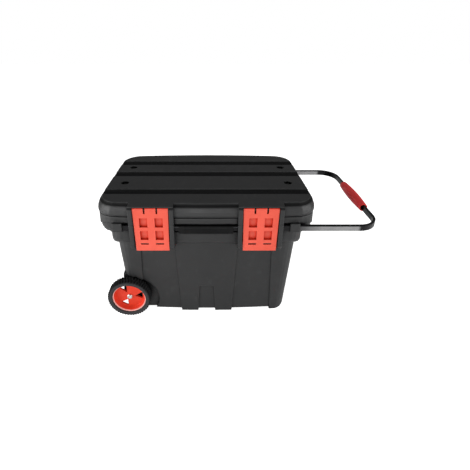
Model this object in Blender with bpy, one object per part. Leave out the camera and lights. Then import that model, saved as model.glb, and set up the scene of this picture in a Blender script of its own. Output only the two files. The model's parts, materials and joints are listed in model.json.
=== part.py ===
"""Rolling tool case: a moulded bin and hinged lid, two over-centre latches, a drop carry
handle, a pull-out flat-bar handle, two treaded wheels on a steel axle and a sliding tray.

Lengths are in metres. The case stands on z = 0 with its front towards -Y and the pull
handle towards +X. Everything is modelled about the middle of the case, and one empty then
moves the whole assembly so that the origin lies under the middle of its bounding box.
"""
import math

import bmesh
import bpy
from mathutils import Matrix, Vector

# Allowances shared by every piece
GAP = 0.0003
OVERRUN = 0.010
SINK = 0.0010
WALL = 0.0035
PIN_RADIUS = 0.0020
PIN_HOLE_RADIUS = PIN_RADIUS + GAP

# Counts that set how finely round shapes are faceted
CORNER_STEPS = 6
FLATNESS = 0.0002
BOW_STEPS = 6
ROUND_STEPS = 12
CURVE_STEPS = 4

# Bin: a tapered tub with a band and a deep rolled skirt round its rim. Half widths are
# those at the middle of the long sides, which bow outwards. What follows the rim has its
# inset from the rim, and what follows the seam its drop below the seam.
SEAM_Z = 0.3660
RIM_HALF_X = 0.3085
RIM_HALF_Y = 0.2045
RIM_RADIUS = 0.060
SIDE_BOW = 0.0095
SKIRT_BULGE = 0.0010
FLANGE_HEIGHT = 0.0187
FLANGE_LIP = 0.0008
FLANGE_LIP_HEIGHT = 0.0040
SEAM_GROOVE_HEIGHT = 0.0018
SEAM_GROOVE_DEPTH = 0.0022
SKIRT_STRAIGHT = 0.0420
SKIRT_CURVE_HEIGHT = 0.035
SKIRT_CURVE_DEPTH = 0.0215
CHANNEL_INSET = 0.0160
BAND_INSET_X = 0.0295
BAND_INSET_Y = 0.0060
BAND_DROP = 0.0480
BAND_FRONT_HEIGHT = 0.0425
BAND_END_HEIGHT = 0.0350
BAND_STRAIGHT_SHARE = 0.45
BAND_TUCK = 0.0110
BAND_STEP = 0.0012
BASE_INSET_X = 0.0590
BASE_INSET_Y = 0.0360
BASE_RADIUS = 0.036
WALL_TOP_DROP = 0.1135
WALL_TOP_INSET_X = 0.0420
WALL_TOP_INSET_Y = 0.0180
WALL_RADIUS = 0.048
SHELF_INSET = 0.0380
SHELF_RISE = 0.0060
NECK_INSET = 0.0240
NECK_RISE = 0.0055
MOUTH_INSET = 0.0140
MOUTH_RISE = 0.0230
FOOT_HEIGHT = 0.0100
FOOT_DEPTH = 0.032
FOOT_ROUND = 0.0020
FOOT_SLOPE = 0.0015
TONGUE_INSET_X = 0.0095
TONGUE_INSET_Y = 0.0140
TONGUE_HEIGHT = 0.0035
TONGUE_THICKNESS = 0.0025

# Bin wall relief: panels pressed in between a centre panel and the corner posts
RELIEF = 0.0040
RELIEF_TOP_DROP = 0.1040
CENTRE_PANEL_TOP_HALF = 0.0905
CENTRE_PANEL_FOOT_HALF = 0.0795
POST_TOP_X = 0.1900
POST_FOOT_X = 0.2015
NOTCH_TOP_HALF = 0.0215
NOTCH_FOOT_HALF = 0.0270
NOTCH_TOP_Z = 0.1080
END_PANEL_TOP_HALF = 0.1080
END_PANEL_FOOT_HALF = 0.0980

# Tray rails inside the bin
RAIL_WIDTH = 0.0085
RAIL_DROP = 0.0740
RAIL_HEIGHT = 0.0080
RAIL_END_INSET = 0.0735

# Wheels, axle and the step in the bin that clears them
WHEEL_RADIUS = 0.0665
WHEEL_END_INSET = 0.0675
WHEEL_SIDE_INSET = 0.0305
TYRE_WIDTH = 0.0290
TREAD_LUGS = 48
TREAD_DEPTH = 0.0035
TREAD_CROWN = 0.0060
TYRE_SIDE_TOP = 0.0625
TYRE_SIDE_ROUND = 0.0015
TYRE_BEAD = 0.0010
HUB_RADIUS = 0.0520
HUB_WIDTH = 0.0205
HUB_LIP = 0.0030
HUB_DISH = 0.0153
HUB_CONE = 0.0045
HUB_WEB = 0.0044
HUB_BOSS_RADIUS = 0.0105
HUB_SEGMENTS = 36
WINDOW_COUNT = 3
WINDOW_INNER_RADIUS = 0.0150
WINDOW_OUTER_RADIUS = 0.0395
WINDOW_HALF_WIDTH = 0.0130
AXLE_RADIUS = 0.0060
WASHER_RADIUS = 0.0110
WASHER_THICKNESS = 0.0012
CAP_RADIUS = 0.0082
CAP_LENGTH = 0.0045
CAP_BORE_DEPTH = 0.0028
CAP_DOME = 0.0014
CAP_DIMPLE_RADIUS = 0.0022
CAP_DIMPLE_DEPTH = 0.0010
STEP_REACH = 0.0280
STEP_RISE = 0.0720
WELL_SHIFT = 0.0065
WELL_DROP = 0.0135
WELL_RADIUS = 0.0845
WELL_INSET = 0.0195
LUG_THICKNESS = 0.0190
INNER_LUG_Y = 0.0500
INNER_LUG_THICKNESS = 0.0060
LUG_REACH = 0.0225
LUG_TOP_REACH = 0.0170
LUG_SLOPE = 0.0075

# Lid: a shallow bulged shell with three grooves across its top. The profile has, from the
# foot to the top edge, shares of the top's inset and shares of the lid's height. Grooves
# and dimples lie at shares of the top's half width.
LID_HEIGHT = 0.0390
LID_OVERHANG = 0.0015
LID_TOP_INSET_X = 0.0095
LID_TOP_INSET_Y = 0.0115
LID_PROFILE_SHARES = ((0.12, 0.0), (0.0, 0.17), (0.16, 0.45), (0.50, 0.70))
LID_EDGE_ROUND = 0.0045
LID_EDGE_STEPS = 3
LID_RADIUS = 0.0600
GROOVE_DEPTH = 0.0080
GROOVE_SLOPE = 0.0060
GROOVE_SHARES = ((-0.697, -0.514), (-0.042, 0.165), (0.463, 0.668))
DIMPLE_END_INSET = 0.0600
DIMPLE_SHARES = (-0.298, 0.344)
DIMPLE_RADIUS = 0.0125
DIMPLE_DEPTH = 0.0080
DIMPLE_BOSS_RADIUS = 0.0045
DIMPLE_BOSS_HEIGHT = 0.0045
LID_RIB_THICKNESS = 0.0022
LID_RIB_DEPTH = 0.0080
LID_RIB_COUNT = 5
LID_RIB_INSET = 0.0245

# Latch housings, in which each latch hangs from its own pin. Depths are from the middle of
# the rim's long side: PROUD in front of it, INSET behind it.
LATCH_END_INSET = 0.1595
LATCH_TOP_WIDTH = 0.0960
LATCH_TAPER = 0.0040
LATCH_PROUD = 0.0060
LATCH_DEPTH = 0.0093
LATCH_PLATE = 0.0030
LATCH_FOOT_DROP = 0.1005
LATCH_KNUCKLE_RADIUS = 0.0055
LATCH_CROWN_CLEARANCE = 0.0008
LATCH_NOTCH_X = 0.0169
LATCH_NOTCH_WIDTH = 0.0046
LATCH_NOTCH_HEIGHT = 0.0180
LATCH_WINDOW_X = 0.0210
LATCH_WINDOW_WIDTH = 0.0220
LATCH_WINDOW_HEIGHT = 0.0290
LATCH_WINDOW_DROP = 0.0110
LATCH_WINDOW_PITCH = 0.0400
LATCH_WINDOW_ROWS = 2
LATCH_WINDOW_DEPTH = 0.0070
LATCH_SLOT_RISE = 0.0220
LATCH_SLOT_HEIGHT = 0.0045
LATCH_THIN_RISE = 0.0320
LATCH_RIB = 0.0020
CHEEK_THICKNESS = 0.0120
CHEEK_PROUD = 0.0080
CHEEK_PARTING_DROP = 0.0180
CHEEK_FOOT_DROP = 0.0980
HOOD_THICKNESS = 0.0034
BAY_BACK_INSET = 0.0080
BAY_SIDE_CLEARANCE = 0.0015
LUG_WIDTH = 0.0040
LUG_RADIUS = 0.0048
TOOTH_HEIGHT = 0.0030
TOOTH_WIDTH = 0.0190

# Pull handle: one flat bar bent into a U, with a barrel grip on its cross bar
BAR_THICKNESS = 0.0080
BAR_HEIGHT = 0.0180
BAR_CHANNEL_GAP = 0.0040
BAR_DROP = 0.0255
BAR_EDGE = 0.0012
BAR_TRAVEL = 0.3300
BAR_OVERHANG = 0.1755
BAR_BEND_RADIUS = 0.0560
BAR_BEND_STEPS = 10
GRIP_HALF_LENGTH = 0.0825
GRIP_END_RADIUS = 0.0125
GRIP_RADIUS = 0.0160
GRIP_SIDES = 20
GRIP_STATIONS = 10
GRIP_SOCKET_DEPTH = 0.0060
GRIP_SOCKET_RADIUS = 0.0100
STOP_END_DISTANCE = 0.0150
STOP_RADIUS = 0.0030
STOP_HEAD_RADIUS = 0.0045
STOP_HEAD = 0.0004
STOP_REACH = 0.0036
STOP_RIB_LENGTH = 0.0100
STOP_RIB_HEIGHT = 0.0140
GUIDE_END_INSET = 0.0505
GUIDE_LENGTH = 0.0265
GUIDE_END_WALL = 0.0080
GUIDE_COVER = 0.0037
GUIDE_PAD_INSET = 0.0085
REAR_GUIDE_X = 0.0890
REAR_GUIDE_LENGTH = 0.0125

# Carry handle: a ribbed grip between two end blocks that turn on steel pins
CARRY_SIDE_GAP = 0.0130
CARRY_PROUD = 0.0020
CARRY_PIVOT_DROP = 0.0265
CARRY_HALF_DEPTH = 0.0050
CARRY_FOOT_DROP = 0.0190
CARRY_BLOCK_WIDTH = 0.0145
CARRY_BLOCK_NARROWING = 0.0010
CARRY_COLLAR_WIDTH = 0.0016
CARRY_RIBS = 5
CARRY_RIB_DEPTH = 0.0009
CARRY_TOP_STEPS = 6
CARRY_PIN_GRIP = 0.0090

# Hinge along the back of the seam
HINGE_PROUD = 0.0060
HINGE_END_INSET = 0.1385
HINGE_KNUCKLE_RADIUS = 0.0055
HINGE_KNUCKLES = 5
HINGE_KNUCKLE_LENGTH = 0.0200
HINGE_KNUCKLE_GAP = 0.0005
HINGE_PIN_OVERHANG = 0.0020
HINGE_ARM_HEIGHT = 0.0100
HINGE_ARM_ROOT = 0.0030

# Tray: half the length of the bin, with a carrying wall down its middle
TRAY_END_INSET = 0.0625
TRAY_LENGTH = 0.2500
TRAY_RIM = 0.0065
TRAY_RIM_THICKNESS = 0.0030
TRAY_WALL = 0.0025
TRAY_DEPTH = 0.0620
TRAY_TAPER = 0.0050
TRAY_RADIUS = 0.0200
TRAY_SIDE_GAP = 0.0055
TRAY_HANDLE_HEIGHT = 0.0520
TRAY_HANDLE_THICKNESS = 0.0040
TRAY_HANDLE_HALF_LENGTH = 0.0900
TRAY_SLOT_HALF_LENGTH = 0.0480
TRAY_SLOT_HEIGHT = 0.0260
TRAY_DIVIDER_THICKNESS = 0.0022

# Places worked out from the sizes above
LID_TOP_Z = SEAM_Z + LID_HEIGHT
LID_HALF_X = RIM_HALF_X + LID_OVERHANG
LID_HALF_Y = RIM_HALF_Y + LID_OVERHANG
LID_TOP_HALF_X = LID_HALF_X - LID_TOP_INSET_X
LID_TOP_HALF_Y = LID_HALF_Y - LID_TOP_INSET_Y
LID_RIB_SPAN_Y = LID_TOP_HALF_Y - LID_RIB_INSET
DIMPLE_X = LID_HALF_X - DIMPLE_END_INSET
FLANGE_FOOT_Z = SEAM_Z - FLANGE_HEIGHT
CHANNEL_HALF_Y = RIM_HALF_Y - CHANNEL_INSET
BAND_FRONT_TOP_Z = SEAM_Z - BAND_DROP
BAND_FRONT_FOOT_Z = BAND_FRONT_TOP_Z - BAND_FRONT_HEIGHT
BAND_END_TOP_Z = SEAM_Z - SKIRT_STRAIGHT - SKIRT_CURVE_HEIGHT
BAND_END_FOOT_Z = BAND_END_TOP_Z - BAND_END_HEIGHT
BAND_HALF_X = RIM_HALF_X - BAND_INSET_X
BAND_HALF_Y = RIM_HALF_Y - BAND_INSET_Y
BASE_HALF_X = RIM_HALF_X - BASE_INSET_X
BASE_HALF_Y = RIM_HALF_Y - BASE_INSET_Y
WALL_TOP_Z = SEAM_Z - WALL_TOP_DROP
WALL_TOP_HALF_X = RIM_HALF_X - WALL_TOP_INSET_X
WALL_TOP_HALF_Y = RIM_HALF_Y - WALL_TOP_INSET_Y
RELIEF_TOP_Z = SEAM_Z - RELIEF_TOP_DROP
MOUTH_HALF_X = RIM_HALF_X - MOUTH_INSET
MOUTH_HALF_Y = CHANNEL_HALF_Y - WALL
TONGUE_HALF_X = RIM_HALF_X - TONGUE_INSET_X
TONGUE_HALF_Y = RIM_HALF_Y - TONGUE_INSET_Y
RAIL_TOP_Z = SEAM_Z - RAIL_DROP
RAIL_HALF_LENGTH = RIM_HALF_X - RAIL_END_INSET
LATCH_X = RIM_HALF_X - LATCH_END_INSET
LATCH_FOOT_WIDTH = LATCH_TOP_WIDTH - LATCH_TAPER
BAY_HALF_WIDTH = LATCH_TOP_WIDTH / 2 + BAY_SIDE_CLEARANCE
HOUSING_HALF_WIDTH = BAY_HALF_WIDTH + CHEEK_THICKNESS
CARRY_BAY_HALF = LATCH_X - HOUSING_HALF_WIDTH
HOOD_FOOT_Z = LID_TOP_Z - HOOD_THICKNESS
CHEEK_FRONT_Y = -RIM_HALF_Y - CHEEK_PROUD
CHEEK_PARTING_Z = SEAM_Z - CHEEK_PARTING_DROP
CHEEK_FOOT_Z = SEAM_Z - CHEEK_FOOT_DROP
BAY_BACK_Y = BAY_BACK_INSET - RIM_HALF_Y
LID_CHEEK_BACK_Y = BAY_BACK_Y - 2 * GAP
LATCH_FRONT_Y = -RIM_HALF_Y - LATCH_PROUD
LATCH_PIVOT_Y = LATCH_FRONT_Y + LATCH_KNUCKLE_RADIUS
LATCH_PIVOT_Z = HOOD_FOOT_Z - LATCH_CROWN_CLEARANCE - LATCH_KNUCKLE_RADIUS
LATCH_FOOT_Z = SEAM_Z - LATCH_FOOT_DROP
LATCH_SLOT_Z = LATCH_FOOT_Z + LATCH_SLOT_RISE
LATCH_THIN_Z = LATCH_FOOT_Z + LATCH_THIN_RISE
BAR_INNER_Y = CHANNEL_HALF_Y + BAR_CHANNEL_GAP
BAR_OUTER_Y = BAR_INNER_Y + BAR_THICKNESS
BAR_MID_Y = BAR_INNER_Y + BAR_THICKNESS / 2
BAR_TOP_Z = SEAM_Z - BAR_DROP
BAR_FOOT_Z = BAR_TOP_Z - BAR_HEIGHT
BAR_MID_Z = BAR_TOP_Z - BAR_HEIGHT / 2
CROSS_BAR_X = RIM_HALF_X + BAR_OVERHANG
GUIDE_OUTER_X = RIM_HALF_X - GUIDE_END_INSET
GUIDE_INNER_X = GUIDE_OUTER_X - GUIDE_LENGTH
GUIDE_FRONT_Y = BAR_OUTER_Y + GAP + GUIDE_COVER
BAR_TAIL_X = GUIDE_END_WALL - GUIDE_OUTER_X
STOP_X = BAR_TAIL_X + STOP_END_DISTANCE
CARRY_HALF_WIDTH = CARRY_BAY_HALF - CARRY_SIDE_GAP
CARRY_PIVOT_Y = -RIM_HALF_Y - CARRY_PROUD
CARRY_PIVOT_Z = SEAM_Z - CARRY_PIVOT_DROP
HINGE_X = RIM_HALF_X - HINGE_END_INSET
HINGE_AXIS_Y = RIM_HALF_Y + HINGE_PROUD
WHEEL_X = WHEEL_END_INSET - RIM_HALF_X
WHEEL_MID_Y = RIM_HALF_Y - WHEEL_SIDE_INSET
STEP_WALL_X = WHEEL_X + STEP_REACH
STEP_TOP_Z = WHEEL_RADIUS + STEP_RISE
WELL_X = WHEEL_X + WELL_SHIFT
WELL_Z = WHEEL_RADIUS - WELL_DROP
WELL_DEPTH_Y = WHEEL_MID_Y - WELL_INSET
HUB_FACE_Y = WHEEL_MID_Y + HUB_WIDTH / 2 - HUB_DISH + HUB_CONE
HUB_BACK_Y = WHEEL_MID_Y - HUB_WIDTH / 2
TRAY_LEFT_X = TRAY_END_INSET - RIM_HALF_X
TRAY_HALF_Y = MOUTH_HALF_Y - RAIL_WIDTH - TRAY_SIDE_GAP
ORIGIN_X = (CROSS_BAR_X + GRIP_RADIUS - LID_HALF_X) / 2

# Colours are the photograph's, as linear values
BLACK_PLASTIC = ((0.030, 0.031, 0.032), 0.55, 0.0)
HANDLE_PLASTIC = ((0.016, 0.017, 0.018), 0.50, 0.0)
RED_PLASTIC = ((0.76, 0.130, 0.085), 0.40, 0.0)
GRIP_PLASTIC = ((0.42, 0.040, 0.035), 0.50, 0.0)
TYRE_RUBBER = ((0.020, 0.021, 0.022), 0.80, 0.0)
TRAY_PLASTIC = ((0.045, 0.046, 0.048), 0.50, 0.0)
PAINTED_BAR = ((0.045, 0.045, 0.046), 0.35, 0.6)
BRIGHT_STEEL = ((0.62, 0.62, 0.60), 0.28, 1.0)
DARK_STEEL = ((0.18, 0.18, 0.19), 0.40, 1.0)


def clear_scene():
    """Remove everything that an earlier run or a start file left behind."""
    for old in list(bpy.data.objects):
        bpy.data.objects.remove(old, do_unlink=True)
    for old in list(bpy.data.meshes):
        bpy.data.meshes.remove(old)


def make_material(name, finish):
    """A Principled material from a colour, a roughness and a metallic value."""
    colour, roughness, metallic = finish
    material = bpy.data.materials.new(name)
    material.use_nodes = True
    shader = material.node_tree.nodes["Principled BSDF"]
    shader.inputs["Base Color"].default_value = (*colour, 1.0)
    shader.inputs["Roughness"].default_value = roughness
    shader.inputs["Metallic"].default_value = metallic
    material.diffuse_color = (*colour, 1.0)
    return material


def make_object(name, vertices, faces):
    """A mesh object from points and faces, with its face directions made consistent."""
    mesh = bpy.data.meshes.new(name)
    mesh.from_pydata([tuple(point) for point in vertices], [], faces)
    shape = bmesh.new()
    shape.from_mesh(mesh)
    bmesh.ops.recalc_face_normals(shape, faces=shape.faces)
    bmesh.ops.connect_verts_nonplanar(shape, angle_limit=FLATNESS, faces=shape.faces)
    shape.to_mesh(mesh)
    shape.free()
    item = bpy.data.objects.new(name, mesh)
    bpy.context.scene.collection.objects.link(item)
    return item


def loft(name, rings):
    """A closed solid through rings of equally many points, with flat ends."""
    count = len(rings[0])
    vertices = [point for ring in rings for point in ring]
    faces = []
    for level in range(len(rings) - 1):
        for index in range(count):
            after = (index + 1) % count
            low = level * count
            high = low + count
            faces.append((low + index, low + after, high + after, high + index))
    faces.append(tuple(reversed(range(count))))
    last = (len(rings) - 1) * count
    faces.append(tuple(range(last, last + count)))
    return make_object(name, vertices, faces)


def loft_loop(name, rings):
    """A closed ring-shaped solid: the last ring joins the first."""
    count = len(rings[0])
    total = len(rings)
    vertices = [point for ring in rings for point in ring]
    faces = []
    for level in range(total):
        above = (level + 1) % total
        for index in range(count):
            after = (index + 1) % count
            faces.append((level * count + index, level * count + after,
                          above * count + after, above * count + index))
    return make_object(name, vertices, faces)


def box(name, low, high):
    """A box between two corners."""
    rings = []
    for z in (low[2], high[2]):
        rings.append([(low[0], low[1], z), (high[0], low[1], z), (high[0], high[1], z), (low[0], high[1], z)])
    return loft(name, rings)


def wedge(name, foot, top):
    """A six-sided block between two level rectangles, each (x0, x1, y0, y1, z)."""
    rings = []
    for x0, x1, y0, y1, z in (foot, top):
        rings.append([(x0, y0, z), (x1, y0, z), (x1, y1, z), (x0, y1, z)])
    return loft(name, rings)


def extrude_z(name, outline, z0, z1):
    """A prism along Z from an outline of (x, y) points."""
    return loft(name, [[(x, y, z) for x, y in outline] for z in (z0, z1)])


def extrude_x(name, outline, x0, x1):
    """A prism along X from an outline of (y, z) points."""
    return loft(name, [[(x, y, z) for y, z in outline] for x in (x0, x1)])


def extrude_y(name, outline, y0, y1):
    """A prism along Y from an outline of (x, z) points."""
    return loft(name, [[(x, y, z) for x, z in outline] for y in (y0, y1)])


def cylinder_x(name, y, z, radius, x0, x1, steps=ROUND_STEPS):
    """A round bar along X."""
    return extrude_x(name, circle(y, z, radius, steps), x0, x1)


def cylinder_y(name, x, z, radius, y0, y1, steps=ROUND_STEPS):
    """A round bar along Y."""
    return extrude_y(name, circle(x, z, radius, steps), y0, y1)


def cylinder_z(name, x, y, radius, z0, z1, steps=ROUND_STEPS):
    """A round bar along Z."""
    return extrude_z(name, circle(x, y, radius, steps), z0, z1)


def circle(u, v, radius, steps):
    """Points of a circle in any plane."""
    points = []
    for step in range(steps):
        angle = 2 * math.pi * step / steps
        points.append((u + radius * math.cos(angle), v + radius * math.sin(angle)))
    return points


def arc(u, v, radius, start_degrees, end_degrees, steps):
    """Points along an arc, both ends included."""
    points = []
    for step in range(steps + 1):
        angle = math.radians(start_degrees + (end_degrees - start_degrees) * step / steps)
        points.append((u + radius * math.cos(angle), v + radius * math.sin(angle)))
    return points


def lathe_y(name, x, z, profile, segments):
    """A ring turned about an axis along Y, from a closed profile of (radius, y)."""
    rings = []
    for segment in range(segments):
        angle = 2 * math.pi * (segment + 0.5) / segments
        rings.append([(x + r * math.cos(angle), y, z + r * math.sin(angle)) for r, y in profile])
    return loft_loop(name, rings)


def combine(target, tool, operation):
    """Join a tool to a target, or cut it away, and delete the tool."""
    modifier = target.modifiers.new("Shape", 'BOOLEAN')
    modifier.operation = operation
    modifier.solver = 'EXACT'
    modifier.object = tool
    graph = bpy.context.evaluated_depsgraph_get()
    result = bpy.data.meshes.new_from_object(target.evaluated_get(graph))
    target.modifiers.clear()
    before = target.data
    target.data = result
    bpy.data.meshes.remove(before)
    spent = tool.data
    bpy.data.objects.remove(tool, do_unlink=True)
    bpy.data.meshes.remove(spent)
    return target


def cut(target, tool):
    """Cut a tool out of a target."""
    return combine(target, tool, 'DIFFERENCE')


def join(target, tool):
    """Add a tool to a target."""
    return combine(target, tool, 'UNION')


def mix(first, second, share):
    """The value a share of the way from the first to the second."""
    return first + (second - first) * share


def crown(x):
    """How far a bowed long side has fallen back at a distance along it from its middle."""
    return SIDE_BOW * (x / (RIM_HALF_X - RIM_RADIUS)) ** 2


def rounded_ring(half_x, half_y, radius, front_z, end_z=None, bowed=False):
    """A rounded rectangle whose height changes from the long sides to the ends."""
    if end_z is None:
        end_z = front_z
    flat = half_x - radius
    fall = crown(flat) if bowed else 0.0
    ring = []
    for quarter in range(4):
        side = 1 if quarter in (0, 1) else -1
        middle_x = flat * (1 if quarter in (0, 3) else -1)
        middle_y = (half_y - fall - radius) * side
        for step in range(CORNER_STEPS + 1):
            angle = math.pi / 2 * (quarter + step / CORNER_STEPS)
            end_share = math.cos(angle) ** 2
            ring.append((middle_x + radius * math.cos(angle), middle_y + radius * math.sin(angle),
                         mix(front_z, end_z, end_share)))
        if quarter in (0, 2):
            for step in range(1, BOW_STEPS):
                x = mix(middle_x, -middle_x, step / BOW_STEPS)
                ring.append((x, side * (half_y - (crown(x) if bowed else 0.0)), front_z))
    return ring


def bowed_ring(half_x, half_y, radius, front_z, end_z=None):
    """A rounded rectangle whose long sides bow outwards to their full half width."""
    return rounded_ring(half_x, half_y, radius, front_z, end_z, True)


def corner_y(x, half_x, half_y, radius):
    """Half width of a rounded rectangle at a distance from its middle."""
    along = max(0.0, abs(x) - (half_x - radius))
    return half_y - radius + math.sqrt(radius ** 2 - along ** 2)


def wall_half_x(z):
    """Half length of the tapered wall at a height."""
    return mix(BASE_HALF_X, WALL_TOP_HALF_X, z / WALL_TOP_Z)


def wall_half_y(z):
    """Half width of the tapered wall at a height."""
    return mix(BASE_HALF_Y, WALL_TOP_HALF_Y, z / WALL_TOP_Z)


def bin_outer():
    """The outside of the bin: base, tapered wall, band, bar channel, skirt and rim."""
    foot_half_x = BASE_HALF_X - FOOT_SLOPE
    foot_half_y = BASE_HALF_Y - FOOT_SLOPE
    rings = [bowed_ring(foot_half_x - FOOT_ROUND, foot_half_y - FOOT_ROUND, BASE_RADIUS - FOOT_ROUND, 0.0)]
    rings.append(bowed_ring(foot_half_x, foot_half_y, BASE_RADIUS, FOOT_ROUND))
    rings.append(bowed_ring(wall_half_x(FOOT_HEIGHT), wall_half_y(FOOT_HEIGHT), BASE_RADIUS,
                            FOOT_HEIGHT + FOOT_SLOPE))
    rings.append(bowed_ring(wall_half_x(BAND_END_FOOT_Z) - BAND_STEP,
                            wall_half_y(BAND_FRONT_FOOT_Z) - BAND_STEP,
                            WALL_RADIUS, BAND_FRONT_FOOT_Z, BAND_END_FOOT_Z))
    rings.append(bowed_ring(BAND_HALF_X - BAND_TUCK, BAND_HALF_Y - BAND_TUCK, WALL_RADIUS,
                            BAND_FRONT_FOOT_Z + BAND_STEP, BAND_END_FOOT_Z + BAND_STEP))
    for step in range(1, CURVE_STEPS + 1):
        angle = math.pi / 2 * step / CURVE_STEPS
        inset = BAND_TUCK * (1 - math.sin(angle))
        rise = (1 - BAND_STRAIGHT_SHARE) * (1 - math.cos(angle))
        rings.append(bowed_ring(BAND_HALF_X - inset, BAND_HALF_Y - inset, WALL_RADIUS,
                                mix(BAND_FRONT_FOOT_Z, BAND_FRONT_TOP_Z, rise),
                                mix(BAND_END_FOOT_Z, BAND_END_TOP_Z, rise)))
    rings.append(bowed_ring(BAND_HALF_X, BAND_HALF_Y, WALL_RADIUS,
                            BAND_FRONT_TOP_Z - BAND_STEP, BAND_END_TOP_Z))
    skirt_half_x = RIM_HALF_X + SKIRT_BULGE
    skirt_end_z = SEAM_Z - SKIRT_STRAIGHT
    for step in range(CURVE_STEPS + 1):
        angle = math.pi / 2 * step / CURVE_STEPS
        inset = SKIRT_CURVE_DEPTH * (1 - math.sin(angle))
        rise = 1 - math.cos(angle)
        rings.append(rounded_ring(skirt_half_x - inset, CHANNEL_HALF_Y, RIM_RADIUS,
                                  mix(BAND_FRONT_TOP_Z, FLANGE_FOOT_Z - BAND_STEP, rise),
                                  mix(BAND_END_TOP_Z + BAND_STEP, skirt_end_z, rise)))

    # The flange flares to a lip at its foot and steps back under the lid as a seam groove
    groove_foot_z = SEAM_Z - SEAM_GROOVE_HEIGHT
    rings.append(bowed_ring(skirt_half_x, RIM_HALF_Y + FLANGE_LIP, RIM_RADIUS, FLANGE_FOOT_Z,
                            skirt_end_z + BAND_STEP))
    rings.append(bowed_ring(skirt_half_x, RIM_HALF_Y, RIM_RADIUS, FLANGE_FOOT_Z + FLANGE_LIP_HEIGHT,
                            skirt_end_z + FLANGE_LIP_HEIGHT))
    rings.append(bowed_ring(RIM_HALF_X, RIM_HALF_Y, RIM_RADIUS, groove_foot_z))
    for z in (groove_foot_z, SEAM_Z):
        rings.append(bowed_ring(RIM_HALF_X - SEAM_GROOVE_DEPTH, RIM_HALF_Y - SEAM_GROOVE_DEPTH,
                                RIM_RADIUS - SEAM_GROOVE_DEPTH, z))
    return loft("bin", rings)


def bin_cavity():
    """The hollow of the bin, which widens at the band and again at the skirt."""
    floor_z = FOOT_HEIGHT + WALL
    end_rise = RAIL_TOP_Z - BAND_FRONT_FOOT_Z
    inside = WALL_RADIUS - WALL
    mouth_radius = RIM_RADIUS - WALL
    shelf_half_x = RIM_HALF_X - SHELF_INSET
    neck_half_x = RIM_HALF_X - NECK_INSET
    rings = [
        bowed_ring(wall_half_x(floor_z) - WALL, wall_half_y(floor_z) - WALL, BASE_RADIUS - WALL, floor_z),
        bowed_ring(wall_half_x(BAND_END_FOOT_Z) - BAND_STEP - WALL,
                   wall_half_y(BAND_FRONT_FOOT_Z) - BAND_STEP - WALL,
                   inside, BAND_FRONT_FOOT_Z, BAND_END_FOOT_Z),
        rounded_ring(shelf_half_x, MOUTH_HALF_Y, inside, RAIL_TOP_Z, BAND_END_FOOT_Z + end_rise),
        rounded_ring(BAND_HALF_X - WALL, MOUTH_HALF_Y, inside, RAIL_TOP_Z + SHELF_RISE / 2,
                     BAND_END_TOP_Z - 2 * SHELF_RISE),
        rounded_ring(BAND_HALF_X - WALL, MOUTH_HALF_Y, inside, RAIL_TOP_Z + SHELF_RISE, BAND_END_TOP_Z),
        rounded_ring(neck_half_x, MOUTH_HALF_Y, mouth_radius, BAND_FRONT_TOP_Z, BAND_END_TOP_Z + NECK_RISE),
        rounded_ring(MOUTH_HALF_X, MOUTH_HALF_Y, mouth_radius, FLANGE_FOOT_Z, BAND_END_TOP_Z + MOUTH_RISE),
        rounded_ring(MOUTH_HALF_X, MOUTH_HALF_Y, mouth_radius, SEAM_Z + OVERRUN),
    ]
    return loft("bin_cavity", rings)


def side_relief(name, side, foot_range, top_range, foot_z, top_z, margin, depth):
    """A block that reaches from outside a long wall to a depth below its bowed face."""
    rings = []
    for (x0, x1), z in ((foot_range, foot_z - margin), (top_range, top_z + margin)):
        outside = side * (wall_half_y(z) + OVERRUN)
        ring = [(x0 - margin, outside, z), (x1 + margin, outside, z)]
        for step in range(BOW_STEPS + 1):
            x = mix(x1 + margin, x0 - margin, step / BOW_STEPS)
            ring.append((x, side * (wall_half_y(z) - crown(x) - depth), z))
        rings.append(ring)
    return loft(name, rings)


def end_relief(name, side, foot_z, top_z, margin, depth):
    """A block that reaches from outside an end wall to a depth below its face."""
    blocks = []
    for half, z in ((END_PANEL_FOOT_HALF, foot_z - margin), (END_PANEL_TOP_HALF, top_z + margin)):
        face = side * (wall_half_x(z) - depth)
        outside = side * (wall_half_x(z) + OVERRUN)
        blocks.append((min(face, outside), max(face, outside), -half - margin, half + margin, z))
    return wedge(name, *blocks)


def relief_blocks(margin, depth, foot_z):
    """All pressed-in panels, or with a margin the wall material that lies behind them."""
    blocks = []
    for side in (-1, 1):
        for hand in (-1, 1):
            foot = sorted((hand * CENTRE_PANEL_FOOT_HALF, hand * POST_FOOT_X))
            top = sorted((hand * CENTRE_PANEL_TOP_HALF, hand * POST_TOP_X))
            blocks.append(side_relief("panel", side, foot, top, foot_z, RELIEF_TOP_Z, margin, depth))
        notch_foot = (-NOTCH_FOOT_HALF, NOTCH_FOOT_HALF)
        notch_top = (-NOTCH_TOP_HALF, NOTCH_TOP_HALF)
        blocks.append(side_relief("notch", side, notch_foot, notch_top, foot_z, NOTCH_TOP_Z, margin, depth))
    blocks.append(end_relief("end_panel", 1, foot_z, WALL_TOP_Z - 2 * RELIEF, margin, depth))
    blocks.append(end_relief("end_panel", -1, foot_z, WALL_TOP_Z - 2 * RELIEF, margin, depth))
    return blocks


def wheel_step(margin):
    """The space along the low left edge for the axle, and the two wheel wells."""
    blocks = [box("axle_step", (-RIM_HALF_X, -RIM_HALF_Y, -OVERRUN), (STEP_WALL_X + margin, RIM_HALF_Y,
                                                                      STEP_TOP_Z + margin))]
    for side in (-1, 1):
        ends = sorted((side * (WELL_DEPTH_Y - margin), side * RIM_HALF_Y))
        blocks.append(cylinder_y("wheel_well", WELL_X, WELL_Z, WELL_RADIUS + margin, *ends, 2 * ROUND_STEPS))
    return blocks


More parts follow.
